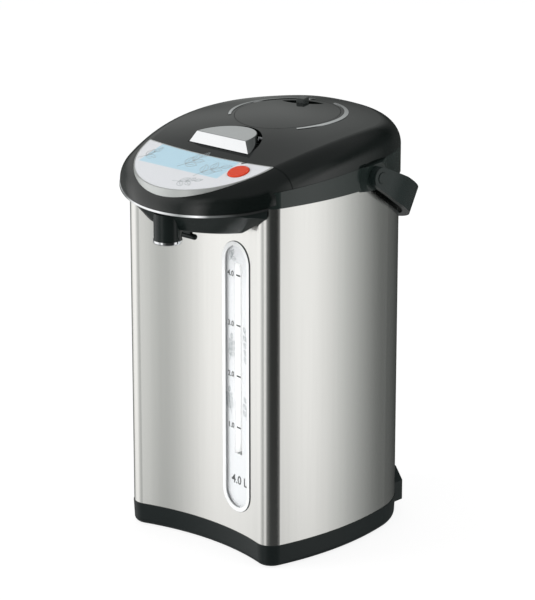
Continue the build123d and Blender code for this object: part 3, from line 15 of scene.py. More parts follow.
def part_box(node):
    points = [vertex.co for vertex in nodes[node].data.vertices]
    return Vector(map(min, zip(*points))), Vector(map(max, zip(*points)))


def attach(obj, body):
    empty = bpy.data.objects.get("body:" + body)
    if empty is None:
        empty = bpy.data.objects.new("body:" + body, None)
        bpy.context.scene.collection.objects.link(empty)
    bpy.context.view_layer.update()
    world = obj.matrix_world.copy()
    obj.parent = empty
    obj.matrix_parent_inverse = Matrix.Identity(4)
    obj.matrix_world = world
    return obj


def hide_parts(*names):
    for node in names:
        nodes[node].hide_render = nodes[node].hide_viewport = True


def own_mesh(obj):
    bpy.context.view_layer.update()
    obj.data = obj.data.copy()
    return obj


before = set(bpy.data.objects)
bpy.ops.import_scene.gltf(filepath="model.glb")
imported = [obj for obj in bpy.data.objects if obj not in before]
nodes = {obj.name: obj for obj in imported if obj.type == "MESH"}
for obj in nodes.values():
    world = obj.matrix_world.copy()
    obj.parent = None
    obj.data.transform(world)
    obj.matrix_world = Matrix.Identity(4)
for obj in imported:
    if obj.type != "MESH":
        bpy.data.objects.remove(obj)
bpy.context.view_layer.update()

# %% [markdown]
# ## Shared measures
# Everything is in metres in the model's own frame: +Z up, the spout looks along -Y. The body's
# middle lies a little behind the origin, so places on it are counted from there, in millimetres,
# and turned into the frame by one function. The body's back tells where its middle is.

# %% Measures
MM = 0.001
BACK_Y = 100.9  # the steel skin's back, from the body's own centre
BODY_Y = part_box("outer_shell")[1][1] / MM - BACK_Y
DISH_R = 227.2  # the dished front is a part of this circle
DISH_CENTRE_Y = -312.9
GAUGE_X = 38.8
GAUGE_W = 36.5
GAUGE_LOW, GAUGE_HIGH = 40.0, 280.0
PLATE_BEHIND = 1.95  # the scale plate's face, behind the steel's face
WINDOW_BEHIND = 1.9  # the window's inner face
PANEL_Y, PANEL_Z, PANEL_SLOPE = -78.7, 347.9, 0.3
INK = 0.12  # how thick printed ink is drawn


def place(x, y, z):
    """A point of the body, given in millimetres from its own centre, in the frame."""
    return Vector((x * MM, (BODY_Y + y) * MM, z * MM))


def on_front(x, z, lift):
    """A point over the dished front, lift millimetres proud of the steel."""
    return place(x, DISH_CENTRE_Y + sqrt((DISH_R - lift) ** 2 - x**2), z)


def on_plate(x, z, lift):
    """A point over the gauge's scale plate."""
    return on_front(x, z, lift - PLATE_BEHIND)


def on_panel(x, y, lift):
    """A point over the control panel's film."""
    slant = sqrt(1 + PANEL_SLOPE**2)
    height = PANEL_Z + PANEL_SLOPE * (y - PANEL_Y)
    return place(x, y - lift * PANEL_SLOPE / slant, height + lift / slant)


print("the gauge's foot on the front:", on_front(GAUGE_X, GAUGE_LOW, 0))

# %% [markdown]
# ## Helpers for materials
# A colour is written as the sRGB hex value that an eye would pick, and one function turns it
# into the linear values that the renderer works in. One more adds a node with its settings and
# links. Everything else is plain node by node work.

# %% Colour and node helpers
COLOUR_SOCKETS, COLOUR_RESULT = (6, 7), 2  # a Mix node's colour inputs and its colour output


def linear(hex_colour):
    """An sRGB hex colour as linear RGBA."""
    parts = [int(hex_colour[i:i + 2], 16) / 255 for i in (1, 3, 5)]
    return tuple(c / 12.92 if c <= 0.04045 else ((c + 0.055) / 1.055) ** 2.4 for c in parts) + (1.0,)


def node(tree, kind, links=None, **settings):
    """Adds a node. Settings name its properties or its inputs; links name the inputs it is fed."""
    made = tree.nodes.new(kind)
    for name, value in settings.items():
        if hasattr(made, name):
            setattr(made, name, value)
        else:
            made.inputs[name.replace("_", " ")].default_value = value
    for name, source in (links or {}).items():
        tree.links.new(source, made.inputs[name])
    return made


def new_material(name, **values):
    """A material with one Principled shader and its constant values."""
    mat = bpy.data.materials.new(name)
    mat.use_nodes = True
    shader = mat.node_tree.nodes["Principled BSDF"]
    for key, value in values.items():
        shader.inputs[key.replace("_", " ")].default_value = value
    return mat, mat.node_tree, shader


def stretched_coords(tree, sizes_mm):
    """Object coordinates divided by a pattern's size in millimetres along X, Y and Z."""
    coords = node(tree, "ShaderNodeTexCoord")
    scale = tuple(1 / (size * MM) for size in sizes_mm)
    return node(tree, "ShaderNodeMapping", {"Vector": coords.outputs["Object"]}, Scale=scale)


def between(tree, factor, colour, other):
    """Mixes two colours, or the outputs that give them, by a factor, and gives the mixed colour."""
    tone = node(tree, "ShaderNodeMix", {"Factor": factor}, data_type="RGBA")
    for socket, value in zip(COLOUR_SOCKETS, (colour, other)):
        if isinstance(value, tuple):
            tone.inputs[socket].default_value = value
        else:
            tree.links.new(value, tone.inputs[socket])
    return tone.outputs[COLOUR_RESULT]


def ranged(tree, value, low, high, start=0.0, end=1.0, smooth=False):
    """Maps a value from start..end to low..high, in a straight line or with soft ends."""
    kind = "SMOOTHSTEP" if smooth else "LINEAR"
    made = node(tree, "ShaderNodeMapRange", {"Value": value}, interpolation_type=kind)
    names = ("From Min", "From Max", "To Min", "To Max")
    for name, number in zip(names, (start, end, low, high)):
        made.inputs[name].default_value = number
    return made.outputs["Result"]


def darker(colour, share):
    """A linear colour times a share."""
    return tuple(share * c for c in colour[:3]) + (1.0,)


print("helpers ready")

# %% [markdown]
# ## Brushed stainless steel
# The skin is ferritic stainless sheet, brushed from top to bottom with a belt. Thousands of
# fine upright scratches smear each reflection sideways, so the sheet shows soft upright bands.
# Anisotropy alone gives the smear but no grain, and a bump alone gives grain but no smear, so
# both are used. Real scratches are under a tenth of a millimetre apart; they are drawn about a
# third of a millimetre wide so that they show.

# %% Brushed stainless steel
SCRATCH_W = 0.35
SCRATCH_LEN = 90.0


def brushed_steel(name, colour, roughness, grain, anisotropy, along):
    """Stainless steel brushed along X, Y or Z."""
    mat, tree, shader = new_material(name, Metallic=1.0, Anisotropic=anisotropy)
    sizes = [SCRATCH_W] * 3
    sizes["XYZ".index(along)] = SCRATCH_LEN
    coords = stretched_coords(tree, sizes)
    scratches = node(tree, "ShaderNodeTexNoise", {"Vector": coords.outputs["Vector"]}, Scale=1.0,
                     Detail=3.0, Roughness=0.6)
    wide = node(tree, "ShaderNodeMapping", {"Vector": coords.outputs["Vector"]}, Scale=(0.08, 0.08, 0.4))
    streaks = node(tree, "ShaderNodeTexNoise", {"Vector": wide.outputs["Vector"]}, Scale=1.0, Detail=2.0)
    base = linear(colour)
    tree.links.new(between(tree, streaks.outputs["Fac"], base, darker(base, 0.95)),
                   shader.inputs["Base Color"])
    tree.links.new(ranged(tree, scratches.outputs["Fac"], roughness * 0.8, roughness * 1.2),
                   shader.inputs["Roughness"])
    bump = node(tree, "ShaderNodeBump", {"Height": scratches.outputs["Fac"]}, Strength=grain,
                Distance=0.02 * MM)
    tree.links.new(bump.outputs["Normal"], shader.inputs["Normal"])
    tangent = node(tree, "ShaderNodeTangent", direction_type="RADIAL", axis="Z")
    tree.links.new(tangent.outputs["Tangent"], shader.inputs["Tangent"])
    return mat


skin_steel = brushed_steel("stainless_brushed_upright", "#e9e9e6", 0.2, 0.1, 0.4, "Z")
tank_steel = brushed_steel("stainless_drawn", "#cfd0d0", 0.32, 0.1, 0.3, "Z")
print("made", skin_steel.name, tank_steel.name)

# %% [markdown]
# ## Chrome plating
# The strip, the lever and the crescents are ABS plated with bright chrome: almost a mirror, with
# the faint waviness of the moulding under it. A very low, wide bump gives that waviness.

# %% Chrome plating
def chrome_plating(name, colour, roughness=0.05):
    """Bright plating over a moulded or turned part."""
    mat, tree, shader = new_material(name, Metallic=1.0)
    coords = stretched_coords(tree, (9.0, 9.0, 9.0))
    waves = node(tree, "ShaderNodeTexNoise", {"Vector": coords.outputs["Vector"]}, Scale=1.0, Detail=1.0)
    bump = node(tree, "ShaderNodeBump", {"Height": waves.outputs["Fac"]}, Strength=0.12, Distance=0.2 * MM)
    tree.links.new(bump.outputs["Normal"], shader.inputs["Normal"])
    wiped = node(tree, "ShaderNodeMapping", {"Vector": coords.outputs["Vector"]}, Scale=(0.5, 0.5, 2.0))
    film = node(tree, "ShaderNodeTexNoise", {"Vector": wiped.outputs["Vector"]}, Scale=1.0, Detail=3.0)
    tree.links.new(ranged(tree, film.outputs["Fac"], roughness, roughness + 0.05),
                   shader.inputs["Roughness"])
    base = linear(colour)
    tree.links.new(between(tree, film.outputs["Fac"], base, darker(base, 0.94)),
                   shader.inputs["Base Color"])
    return mat


chrome = chrome_plating("chrome_plated_abs", "#eceef0")
zinc = chrome_plating("zinc_plated_steel", "#c9cbcd", 0.3)
print("made", chrome.name, zinc.name)

# %% [markdown]
# ## Moulded plastics
# Housings are ABS or polypropylene. A polished mould leaves a gloss with a faint orange peel, a
# spark eroded mould leaves a fine grain. Both are the same shader with another roughness and
# another pattern size, so one function makes them all. Handling leaves slightly duller patches,
# which a slow noise adds to the roughness.

# %% Moulded plastics
HANDLED = 40.0  # size of the patches that handling leaves


def moulded(name, colour, roughness, grain_mm, depth, patches=0.05, **values):
    """Moulded plastic: colour, gloss, size of the surface grain and how deep it is."""
    mat, tree, shader = new_material(name, **values)
    coords = stretched_coords(tree, (grain_mm,) * 3)
    grain = node(tree, "ShaderNodeTexNoise", {"Vector": coords.outputs["Vector"]}, Scale=1.0, Detail=2.0)
    bump = node(tree, "ShaderNodeBump", {"Height": grain.outputs["Fac"]}, Strength=depth, Distance=0.05 * MM)
    tree.links.new(bump.outputs["Normal"], shader.inputs["Normal"])
    slow = node(tree, "ShaderNodeMapping", {"Vector": coords.outputs["Vector"]},
                Scale=(grain_mm / HANDLED,) * 3)
    handled = node(tree, "ShaderNodeTexNoise", {"Vector": slow.outputs["Vector"]}, Scale=1.0, Detail=3.0)
    tree.links.new(ranged(tree, handled.outputs["Fac"], roughness, roughness + patches),
                   shader.inputs["Roughness"])
    base = linear(colour)
    tree.links.new(between(tree, handled.outputs["Fac"], base, darker(base, 0.9)),
                   shader.inputs["Base Color"])
    return mat


gloss_black = moulded("abs_polished_black", "#0d1211", 0.05, 2.5, 0.03, patches=0.03)
collar_black = moulded("abs_satin_dark", "#1d2523", 0.16, 1.0, 0.12)
hull_black = moulded("abs_satin_beak", "#171d1c", 0.2, 1.0, 0.12, Specular_IOR_Level=0.25)
base_black = moulded("polypropylene_satin_dark", "#161c1c", 0.28, 0.8, 0.2, Specular_IOR_Level=0.25)
handle_black = moulded("abs_half_gloss_dark", "#1a2221", 0.18, 1.0, 0.12)
lock_grey = moulded("abs_grey", "#3c403f", 0.2, 1.0, 0.12)
natural_white = moulded("polypropylene_natural", "#d9d8cf", 0.4, 0.8, 0.2)
glowing_channel_white = moulded("abs_white_painted_glow", "#f6f7f7", 0.35, 0.8, 0.1, Emission_Strength=0.4,
                        Emission_Color=(1.0, 1.0, 1.0, 1.0))  # painted light: the glow makes the white channel bright in its deep, shaded slot
silver_paint = moulded("abs_silver_painted", "#b9bcba", 0.28, 0.5, 0.2, Metallic=0.5)
gauge_rim_grey = moulded("abs_pale_grey", "#e6e8e8", 0.2, 0.8, 0.08)
orange_button = moulded("abs_orange_red", "#dc3c12", 0.25, 0.8, 0.1)
rubber = moulded("rubber_black", "#141414", 0.6, 0.5, 0.3)
# painted shade: the grey of the line drawn in the gap round the gauge's rim
gap_shade_grey = moulded("painted_gap_shade_grey", "#54585a", 0.5, 0.5, 0.2)
silicone = moulded("silicone_milky", "#cfd0cb", 0.35, 1.0, 0.1, Subsurface_Weight=0.2)
print("made the moulded plastics")

# %% [markdown]
# ## Printed film and clear parts
# The panel is a printed film under a clear lacquer: white, with a light blue field for the
# display that follows the lid's edge. The gauge has a pale grey scale plate behind a clear
# window. Printed tints are screened, so a fine noise breaks up their tone.

# %% Panel film
BLUE_X = (-54.0, 38.5)
BLUE_FRONT_Y = -112.0
BLUE_EDGE = 2.0  # how softly the field ends
SCREEN = 0.6  # grain of the screen print, drawn coarser than the real 0.2


def panel_film():
    """White film with a pale blue field behind BLUE_FRONT_Y, between two places along X."""
    mat, tree, shader = new_material("printed_film_panel", Roughness=0.2, Coat_Weight=0.4,
                                     Coat_Roughness=0.06)
    coords = node(tree, "ShaderNodeTexCoord")
    xyz = node(tree, "ShaderNodeSeparateXYZ", {"Vector": coords.outputs["Object"]})
    left, right = (place(x, 0, 0).x for x in BLUE_X)
    front = place(0, BLUE_FRONT_Y, 0).y
    edge = BLUE_EDGE * MM
    field = ranged(tree, xyz.outputs["X"], 0, 1, left, left + edge, smooth=True)
    for fade in (ranged(tree, xyz.outputs["X"], 1, 0, right - edge, right, smooth=True),
                 ranged(tree, xyz.outputs["Y"], 0, 1, front, front + edge, smooth=True)):
        field = node(tree, "ShaderNodeMath", {0: field, 1: fade}, operation="MULTIPLY").outputs[0]
    grain = node(tree, "ShaderNodeTexNoise", {"Vector": coords.outputs["Object"]}, Detail=1.0)
    grain.inputs["Scale"].default_value = 1 / (SCREEN * MM)
    white = between(tree, grain.outputs["Fac"], linear("#e3e5e8"), linear("#dadce0"))
    blue = between(tree, grain.outputs["Fac"], linear("#bcdcea"), linear("#b2d3e3"))
    tree.links.new(between(tree, field, white, blue), shader.inputs["Base Color"])
    return mat


panel_print = panel_film()
scale_plate = moulded("printed_film_gauge", "#dfe1e3", 0.3, 1.0, 0.05)
ink_dark = moulded("printing_ink_dark", "#26292b", 0.45, 0.4, 0.1)
ink_grey = moulded("printing_ink_grey", "#8d9597", 0.45, 0.4, 0.1)
ink_pale = moulded("printing_ink_pale", "#a7aeb0", 0.45, 0.4, 0.1)
print("made", panel_print.name, scale_plate.name, ink_dark.name, ink_grey.name, ink_pale.name)

# %% [markdown]
# ## Clear parts
# The window is thin clear styrene and the sight tube is glass. A full glass shader would keep
# the lamps' light from what lies behind it, which then looks dark, so a thin see-through skin
# with its own gloss is used: a low alpha lets the light through and the gloss stays on top.

# %% Clear parts
def clear(name, tint, alpha, roughness):
    """Thin clear part: mostly see-through, with a gloss."""
    mat, tree, shader = new_material(name, IOR=1.5, Alpha=alpha)
    coords = stretched_coords(tree, (6.0, 6.0, 30.0))
    waves = node(tree, "ShaderNodeTexNoise", {"Vector": coords.outputs["Vector"]}, Scale=1.0, Detail=2.0)
    bump = node(tree, "ShaderNodeBump", {"Height": waves.outputs["Fac"]}, Strength=0.08, Distance=0.1 * MM)
    tree.links.new(bump.outputs["Normal"], shader.inputs["Normal"])
    base = linear(tint)
    tree.links.new(between(tree, waves.outputs["Fac"], base, darker(base, 0.96)),
                   shader.inputs["Base Color"])
    tree.links.new(ranged(tree, waves.outputs["Fac"], roughness, roughness + 0.03),
                   shader.inputs["Roughness"])
    return mat


clear_window = clear("styrene_clear", "#f4f7f7", 0.06, 0.03)
clear_tube = clear("borosilicate_glass", "#f6f9f8", 0.06, 0.01)
board_green = moulded("solder_mask_green", "#1d5a34", 0.3, 1.0, 0.1)
motor_can = brushed_steel("motor_can_plated", "#a9abad", 0.3, 0.1, 0.2, "Z")
heater_alloy = brushed_steel("aluminium_cast", "#b9bbbd", 0.45, 0.3, 0.0, "X")
mica = moulded("mica_sheet", "#a08a62", 0.4, 2.0, 0.2)
brass = chrome_plating("brass_nickel_plated", "#d8cfa8", 0.2)
print("made the clear and inner materials")

# %% [markdown]
# ## Give each CAD node its finish
# The solids already have the right shapes, so they stay, and each gets the finish that its real
# counterpart has.

# %% Assign materials
FINISHES = {
    skin_steel: ["outer_shell"],
    tank_steel: ["tank", "heat_shield"],
    chrome: ["chrome_strip", "spout_ring", "lid_trim_arcs", "lid_lever"],
    zinc: ["base_screws", "hinge_pin", "cup_pin", "lid_screws", "lever_pin"],
    gloss_black: ["console_shell", "lid_shell", "pump_disc"],
    collar_black: ["collar"],
    hull_black: ["beak_hull", "spout_nozzle", "cup_lever"],
    base_black: ["base_cup", "base_plate", "inlet_housing"],
    handle_black: ["handle_bail", "handle_pivots"],
    lock_grey: ["lock_knob"],
    natural_white: ["lid_inner", "steam_valve", "pump_housing", "pump_impeller", "latch_bolt",
                    "thermostats"],
    glowing_channel_white: ["tube_channel"],
    silver_paint: ["panel_bezel"],
    gauge_rim_grey: ["gauge_frame"],
    orange_button: ["dispense_button"],
    rubber: ["base_feet"],
    silicone: ["lid_gasket", "rim_seal", "bellows", "riser_hose", "spout_hose", "inlet_hose"],
    panel_print: ["panel_label"],
    scale_plate: ["gauge_label"],
    clear_window: ["gauge_window"],
    clear_tube: ["sight_tube"],
    board_green: ["power_board", "control_board"],
    motor_can: ["pump_motor"],
    heater_alloy: ["heater_plate"],
    mica: ["band_heater"],
    brass: ["inlet_pins"],
}
for material, names in FINISHES.items():
    for name in names:
        for mesh_slot in nodes[name].material_slots:
            mesh_slot.material = material
dressed = {name for names in FINISHES.values() for name in names}
print("dressed", len(dressed), "nodes, plain:", sorted(set(nodes) - dressed))

# %% [markdown]
# ## Printing
# Ink is a thin raised layer. Each printed line is a shallow bar that follows the curved plate or
# the sloping film, so it is real geometry. Numbers come from a font curve that is turned into a
# mesh and then laid on the surface point by point.

# %% Lines of ink
def add_piece(name, points, faces, material, body="body"):
    """A mesh object from points in the frame, riding on a body."""
    mesh = bpy.data.meshes.new(name)
    mesh.from_pydata([tuple(p) for p in points], [], faces)
    mesh.materials.append(material)
    piece = bpy.data.objects.new(name, mesh)
    bpy.context.scene.collection.objects.link(piece)
    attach(piece, body)
    return piece


def ink_lines(name, lines, surface, width, material, high=INK, sunk=INK / 2):
    """Shallow bars along lines of (u, v) points, laid on a surface."""
    points, faces = [], []
    for line in lines:
        start = len(points)
        last = len(line) - 1
        for i, (u, v) in enumerate(line):
            (u0, v0), (u1, v1) = line[max(i - 1, 0)], line[min(i + 1, last)]
            du, dv = u1 - u0, v1 - v0
            length = sqrt(du * du + dv * dv)
            nu, nv = -dv / length * width / 2, du / length * width / 2
            for side, lift in ((1, -sunk), (1, high), (-1, high), (-1, -sunk)):
                points.append(surface(u + side * nu, v + side * nv, lift))
            if i:
                a, b = start + 4 * (i - 1), start + 4 * i
                faces += [(a + k, a + (k + 1) % 4, b + (k + 1) % 4, b + k) for k in range(4)]
        end = start + 4 * last
        faces += [(start + 3, start + 2, start + 1, start), (end, end + 1, end + 2, end + 3)]
    return add_piece(name, points, faces, material)


def lettering(name, text, height, u, v, surface, material, bold=0.16):
    """Numbers, centred on u, v and laid on a surface; bold widens the strokes."""
    curve = bpy.data.curves.new(name, "FONT")
    curve.body = text
    curve.size = height / 0.7  # capitals fill seven tenths of the type size
    curve.extrude = INK
    curve.offset = bold
    curve.resolution_u = 3
    curve.align_x, curve.align_y = "CENTER", "CENTER"
    holder = bpy.data.objects.new(name + "_type", curve)
    mesh = bpy.data.meshes.new_from_object(holder)
    points = [surface(u + p.co.x, v + p.co.y, p.co.z) for p in mesh.vertices]
    faces = [tuple(f.vertices) for f in mesh.polygons]
    bpy.data.objects.remove(holder)
    bpy.data.curves.remove(curve)
    return add_piece(name, points, faces, material)


print("printing helpers ready")

# %% [markdown]
# ## The gauge's scale
# Four numbers stand left of the slot, and a short tick at each crosses the slot on the window's
# inner face, in front of the tube. The pot's capacity stands below.

# %% Scale
LITRE_Z = {"1.0": 115.0, "2.0": 161.0, "3.0": 206.0, "4.0": 250.0}
NUMBER_X, NUMBER_H = 28.8, 4.6
CAPACITY_X, CAPACITY_Z, CAPACITY_H = 40.0, 67.0, 7.6
TICK_X, TICK_W, TICK_T = (36.2, 41.8), 1.5, 0.06
for text, z in LITRE_Z.items():
    name = "gauge_number_" + text.replace(".", "_")
    lettering(name, text, NUMBER_H, NUMBER_X, z, on_plate, ink_dark)
lettering("gauge_capacity", "4.0 L", CAPACITY_H, CAPACITY_X, CAPACITY_Z, on_plate, ink_dark)
ticks = [[(x, z) for x in TICK_X] for z in LITRE_Z.values()]
ink_lines("gauge_ticks", ticks, lambda x, z, lift: on_front(x, z, lift - WINDOW_BEHIND), TICK_W,
          ink_dark, high=TICK_T, sunk=TICK_T)
print("scale at", LITRE_Z)

# %% [markdown]
# ## Sprigs
# Plates like these carry a pale line drawing to fill the empty places. This one has plain
# sprigs of pointed leaves, each leaf two arcs and a midrib, set along a bent stem.

# %% Sprigs
LEAF_STEPS = 9
LEAF_SIDES = (42, -48)  # how far the leaves of a pair turn from the stem
GAUGE_LINE_W, PANEL_LINE_W, MARK_W = 0.42, 0.3, 1.6
BUTTON_MARK = [(40.2, -84.4), (44.2, -80.9)]  # a short stroke beside the button


def leaf(u, v, turn, length, fat=0.32):
    """Outline and midrib of a pointed leaf that starts at u, v."""
    c, s = cos(radians(turn)), sin(radians(turn))
    lines = []
    for side in (1, -1, 0):
        line = []
        for i in range(LEAF_STEPS + 1):
            t = i / LEAF_STEPS
            along, off = t * length, side * fat * length * sin(pi * t) * (1 - 0.3 * t)
            line.append((u + along * c - off * s, v + along * s + off * c))
        lines.append(line[:-2] if side == 0 else line)
    return lines


def sprig(u, v, turn, length, pairs, leaf_length, bend=24.0):
    """A bent stem with pairs of leaves and one at its tip."""
    stem, lines = [(u, v)], []
    steps = pairs + 1
    for i in range(steps):
        angle = radians(turn + bend * (i / steps - 0.5))
        x, y = stem[-1]
        stem.append((x + cos(angle) * length / steps, y + sin(angle) * length / steps))
        size = leaf_length * (1 - 0.3 * i / steps)
        if i < pairs:
            for side in LEAF_SIDES:
                lines += leaf(*stem[-1], turn + side + bend * (i / steps - 0.5), size)
        else:
            lines += leaf(*stem[-1], turn + bend / 2, size)
    return [stem] + lines


gauge_sprigs = (sprig(50.2, 168.0, 96.0, 34.0, 4, 7.0) + sprig(50.5, 122.0, 86.0, 24.0, 3, 6.6, -20.0)
                + sprig(27.0, 173.0, 84.0, 20.0, 3, 6.4) + sprig(29.5, 126.0, 97.0, 19.0, 3, 6.4, -24.0)
                + sprig(27.5, 261.5, 60.0, 6.0, 1, 6.4))
ink_lines("gauge_sprigs", gauge_sprigs, on_plate, GAUGE_LINE_W, ink_grey)
panel_sprigs = (sprig(-12.0, -107.0, 66.0, 21.0, 2, 12.0) + sprig(14.0, -115.0, 50.0, 24.0, 2, 12.5, -40.0)
                + sprig(-58.0, -108.0, 64.0, 15.0, 1, 11.0, 30.0) + sprig(2.0, -127.0, 22.0, 20.0, 2, 9.5))
ink_lines("panel_sprigs", panel_sprigs, on_panel, PANEL_LINE_W, ink_pale)
ink_lines("panel_button_mark", [BUTTON_MARK], on_panel, MARK_W, ink_dark)
print("sprig lines", len(gauge_sprigs), len(panel_sprigs))

# %% [markdown]
# ## The gauge's rim line
# A thin grey bead is painted shade: it draws the dark line of the gap between the gauge's rim
# and the steel. It is a round section swept along the rim's rounded outline, on the dished front.

# %% Bead round the gauge
def rim_outline(count=24):
    """Points round the gauge's rounded strip."""
    radius = GAUGE_W / 2
    low, high = GAUGE_LOW + GAUGE_W / 2, GAUGE_HIGH - GAUGE_W / 2
    top = [(GAUGE_X + radius * cos(pi * i / count), high + radius * sin(pi * i / count))
           for i in range(count + 1)]
    foot = [(GAUGE_X - radius * cos(pi * i / count), low - radius * sin(pi * i / count))
            for i in range(count + 1)]
    return top + foot


def bead(name, outline, lift, radius, material, sides=8):
    """A closed round bead that follows an outline on the dished front."""
    count = len(outline)
    points, faces = [], []
    for i, (x, z) in enumerate(outline):
        (x0, z0), (x1, z1) = outline[i - 1], outline[(i + 1) % count]
        length = sqrt((x1 - x0) ** 2 + (z1 - z0) ** 2)
        nx, nz = -(z1 - z0) / length, (x1 - x0) / length
        for k in range(sides):
            a = 2 * pi * k / sides
            off = radius * cos(a)
            points.append(on_front(x + nx * off, z + nz * off, lift + radius * sin(a)))
        b, c = i * sides, (i + 1) % count * sides
        faces += [(b + k, b + (k + 1) % sides, c + (k + 1) % sides, c + k) for k in range(sides)]
    return add_piece(name, points, faces, material)


BEAD_R, BEAD_LIFT = 0.4, 0.3
bead("gauge_gap_shade_line", rim_outline(), BEAD_LIFT, BEAD_R, gap_shade_grey)
print("bead made")

# %% [markdown]
# ## The pump's bellows
# Under the press plate sits a bellows of milky silicone, the air pump. It is soft and folds up
# as the plate goes down, but here it keeps one shape. The folds are a zigzag section turned
# about the plate's axis.

# %% Bellows
BELLOWS_Y = 17.0
BELLOWS_R, FOLD_DEPTH, FOLDS, BELLOWS_WALL = 26.0, 6.0, 4, 1.0
FOOT_IN = 8.0  # how far the foot reaches in


def bellows_section(low, high):
    """Radii and heights from the foot's inner edge, up the outside, then down the inside."""
    step = (high - low - 2 * BELLOWS_WALL) / (2 * FOLDS)
    outside = [(BELLOWS_R - i % 2 * FOLD_DEPTH, low + BELLOWS_WALL + i * step) for i in range(2 * FOLDS + 1)]
    inside = [(r - BELLOWS_WALL, z) for r, z in reversed(outside)]
    foot = BELLOWS_R - FOOT_IN
    return ([(foot, low), (BELLOWS_R, low)] + outside + [(BELLOWS_R, high)],
            inside + [(foot, low + BELLOWS_WALL)])


def turned_shell(name, outer, inner, y, material, body, count=64):
    """A closed shell turned about an upright axis, with a flat top inside and outside."""
    rings = outer + inner
    points = [place(r * cos(2 * pi * k / count), y + r * sin(2 * pi * k / count), z)
              for r, z in rings for k in range(count)]
    faces = []
    for i in range(len(rings)):
        if i != len(outer) - 1:
            a, b = i * count, (i + 1) % len(rings) * count
            faces += [(a + k, a + (k + 1) % count, b + (k + 1) % count, b + k) for k in range(count)]
    top, roof = (len(outer) - 1) * count, len(outer) * count
    faces += [tuple(range(top, top + count)), tuple(range(roof + count - 1, roof - 1, -1))]
    return add_piece(name, points, faces, material, body)


(_, _, bellows_low), (_, _, bellows_high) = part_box("bellows")
outer, inner = bellows_section(bellows_low / MM, bellows_high / MM)
bellows = turned_shell("bellows_soft", outer, inner, BELLOWS_Y, silicone, "lid")
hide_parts("bellows")
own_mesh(bellows)
print("bellows folds", FOLDS)

# %% [markdown]
# ## The studio
# A white sweep and soft, even light. The floor shows plain white to the camera, apart from the
# share that takes the pot's shadow. It is left out of mirror reflections, so that the
# reflections of the room run straight down the steel.

# %% Floor
FLOOR_HALF = 3.0  # metres
FLOOR_GLOW = 0.76  # share of the floor that is plain white to the camera; the rest takes shadow
floor_mesh = bpy.data.meshes.new("studio_floor")
floor_mesh.from_pydata([(-FLOOR_HALF, -FLOOR_HALF, 0), (FLOOR_HALF, -FLOOR_HALF, 0),
                        (FLOOR_HALF, FLOOR_HALF, 0), (-FLOOR_HALF, FLOOR_HALF, 0)], [], [(0, 1, 2, 3)])
floor = bpy.data.objects.new("studio_floor", floor_mesh)
bpy.context.scene.collection.objects.link(floor)
floor.visible_glossy = False
floor_mat, floor_tree, floor_shader = new_material(
    "paper_sweep_white", Roughness=0.6, Base_Color=linear("#f8f8f8"), Emission_Strength=0.35,
    Emission_Color=(1.0, 1.0, 1.0, 1.0))
paths = node(floor_tree, "ShaderNodeLightPath")
glow = node(floor_tree, "ShaderNodeEmission", Strength=1.0)
share = node(floor_tree, "ShaderNodeMath", {0: paths.outputs["Is Camera Ray"]}, operation="MULTIPLY")
share.inputs[1].default_value = FLOOR_GLOW
lit = node(floor_tree, "ShaderNodeMixShader", {"Fac": share.outputs[0], 1: floor_shader.outputs[0],
                                               2: glow.outputs[0]})
floor_tree.links.new(lit.outputs[0], floor_tree.nodes["Material Output"].inputs["Surface"])
floor_mesh.materials.append(floor_mat)
print("floor", 2 * FLOOR_HALF, "m")

# %% [markdown]
# ## The room that the metal mirrors
# Bright metal shows what stands round it, so the room is described by direction: broad white
# walls left and right of the pot, a dark gap behind the camera, which draws the dark upright
# stripe down the near corner, and a dim room at the back. The steel sees the low part of the
# room, the lid's flat top sees the part over it. Straight up and at the foot it is dim, so that
# gloss black stays black. Diffuse light comes evenly from everywhere, and the camera sees white.

# %% Room
# (azimuth in degrees from straight in front of the pot towards its right, brightness)
LOW_ROOM = ((-180, 0.1), (-160, 0.05), (-144, 0.04), (-139, 0.12), (-136, 0.28), (-132, 0.14),
            (-122, 0.06), (-96, 0.3), (-78, 1.1), (-45, 1.15), (-20, 0.42), (-11, 0.85), (-3, 1.3), (9, 0.2),
            (34, 0.03), (91, 0.02), (105, 1.05), (118, 1.12), (140, 0.48), (156, 0.13), (180, 0.1))
HIGH_ROOM = ((-180, 0.03), (-165, 0.05), (-157, 0.12), (-147, 0.32), (-137, 0.54), (-110, 0.65),
             (-85, 0.9), (-70, 1.1), (-45, 1.15), (-20, 0.6), (-8, 0.9), (7, 0.15), (34, 0.04), (86, 0.03),
             (100, 0.7), (115, 0.5), (130, 0.15), (180, 0.03))
LOW_END, HIGH_START = 0.05, 0.42  # sines of the elevations where the low room ends and the high one starts
CAPS = ((0.45, 0.75, 0.25, 1.0), (-0.33, -0.48, 0.12, 0.75))  # sines from and to, brightness, share
AMBIENT = 0.72

world = bpy.data.worlds.new("studio")
bpy.context.scene.world = world
world.use_nodes = True
tree = world.node_tree
direction = node(tree, "ShaderNodeTexCoord")
xyz = node(tree, "ShaderNodeSeparateXYZ", {"Vector": direction.outputs["Generated"]})
front = node(tree, "ShaderNodeMath", {0: xyz.outputs["Y"]}, operation="MULTIPLY")
front.inputs[1].default_value = -1.0
azimuth = node(tree, "ShaderNodeMath", {0: xyz.outputs["X"], 1: front.outputs[0]}, operation="ARCTAN2")
turn = ranged(tree, azimuth.outputs[0], 0, 1, -pi, pi)


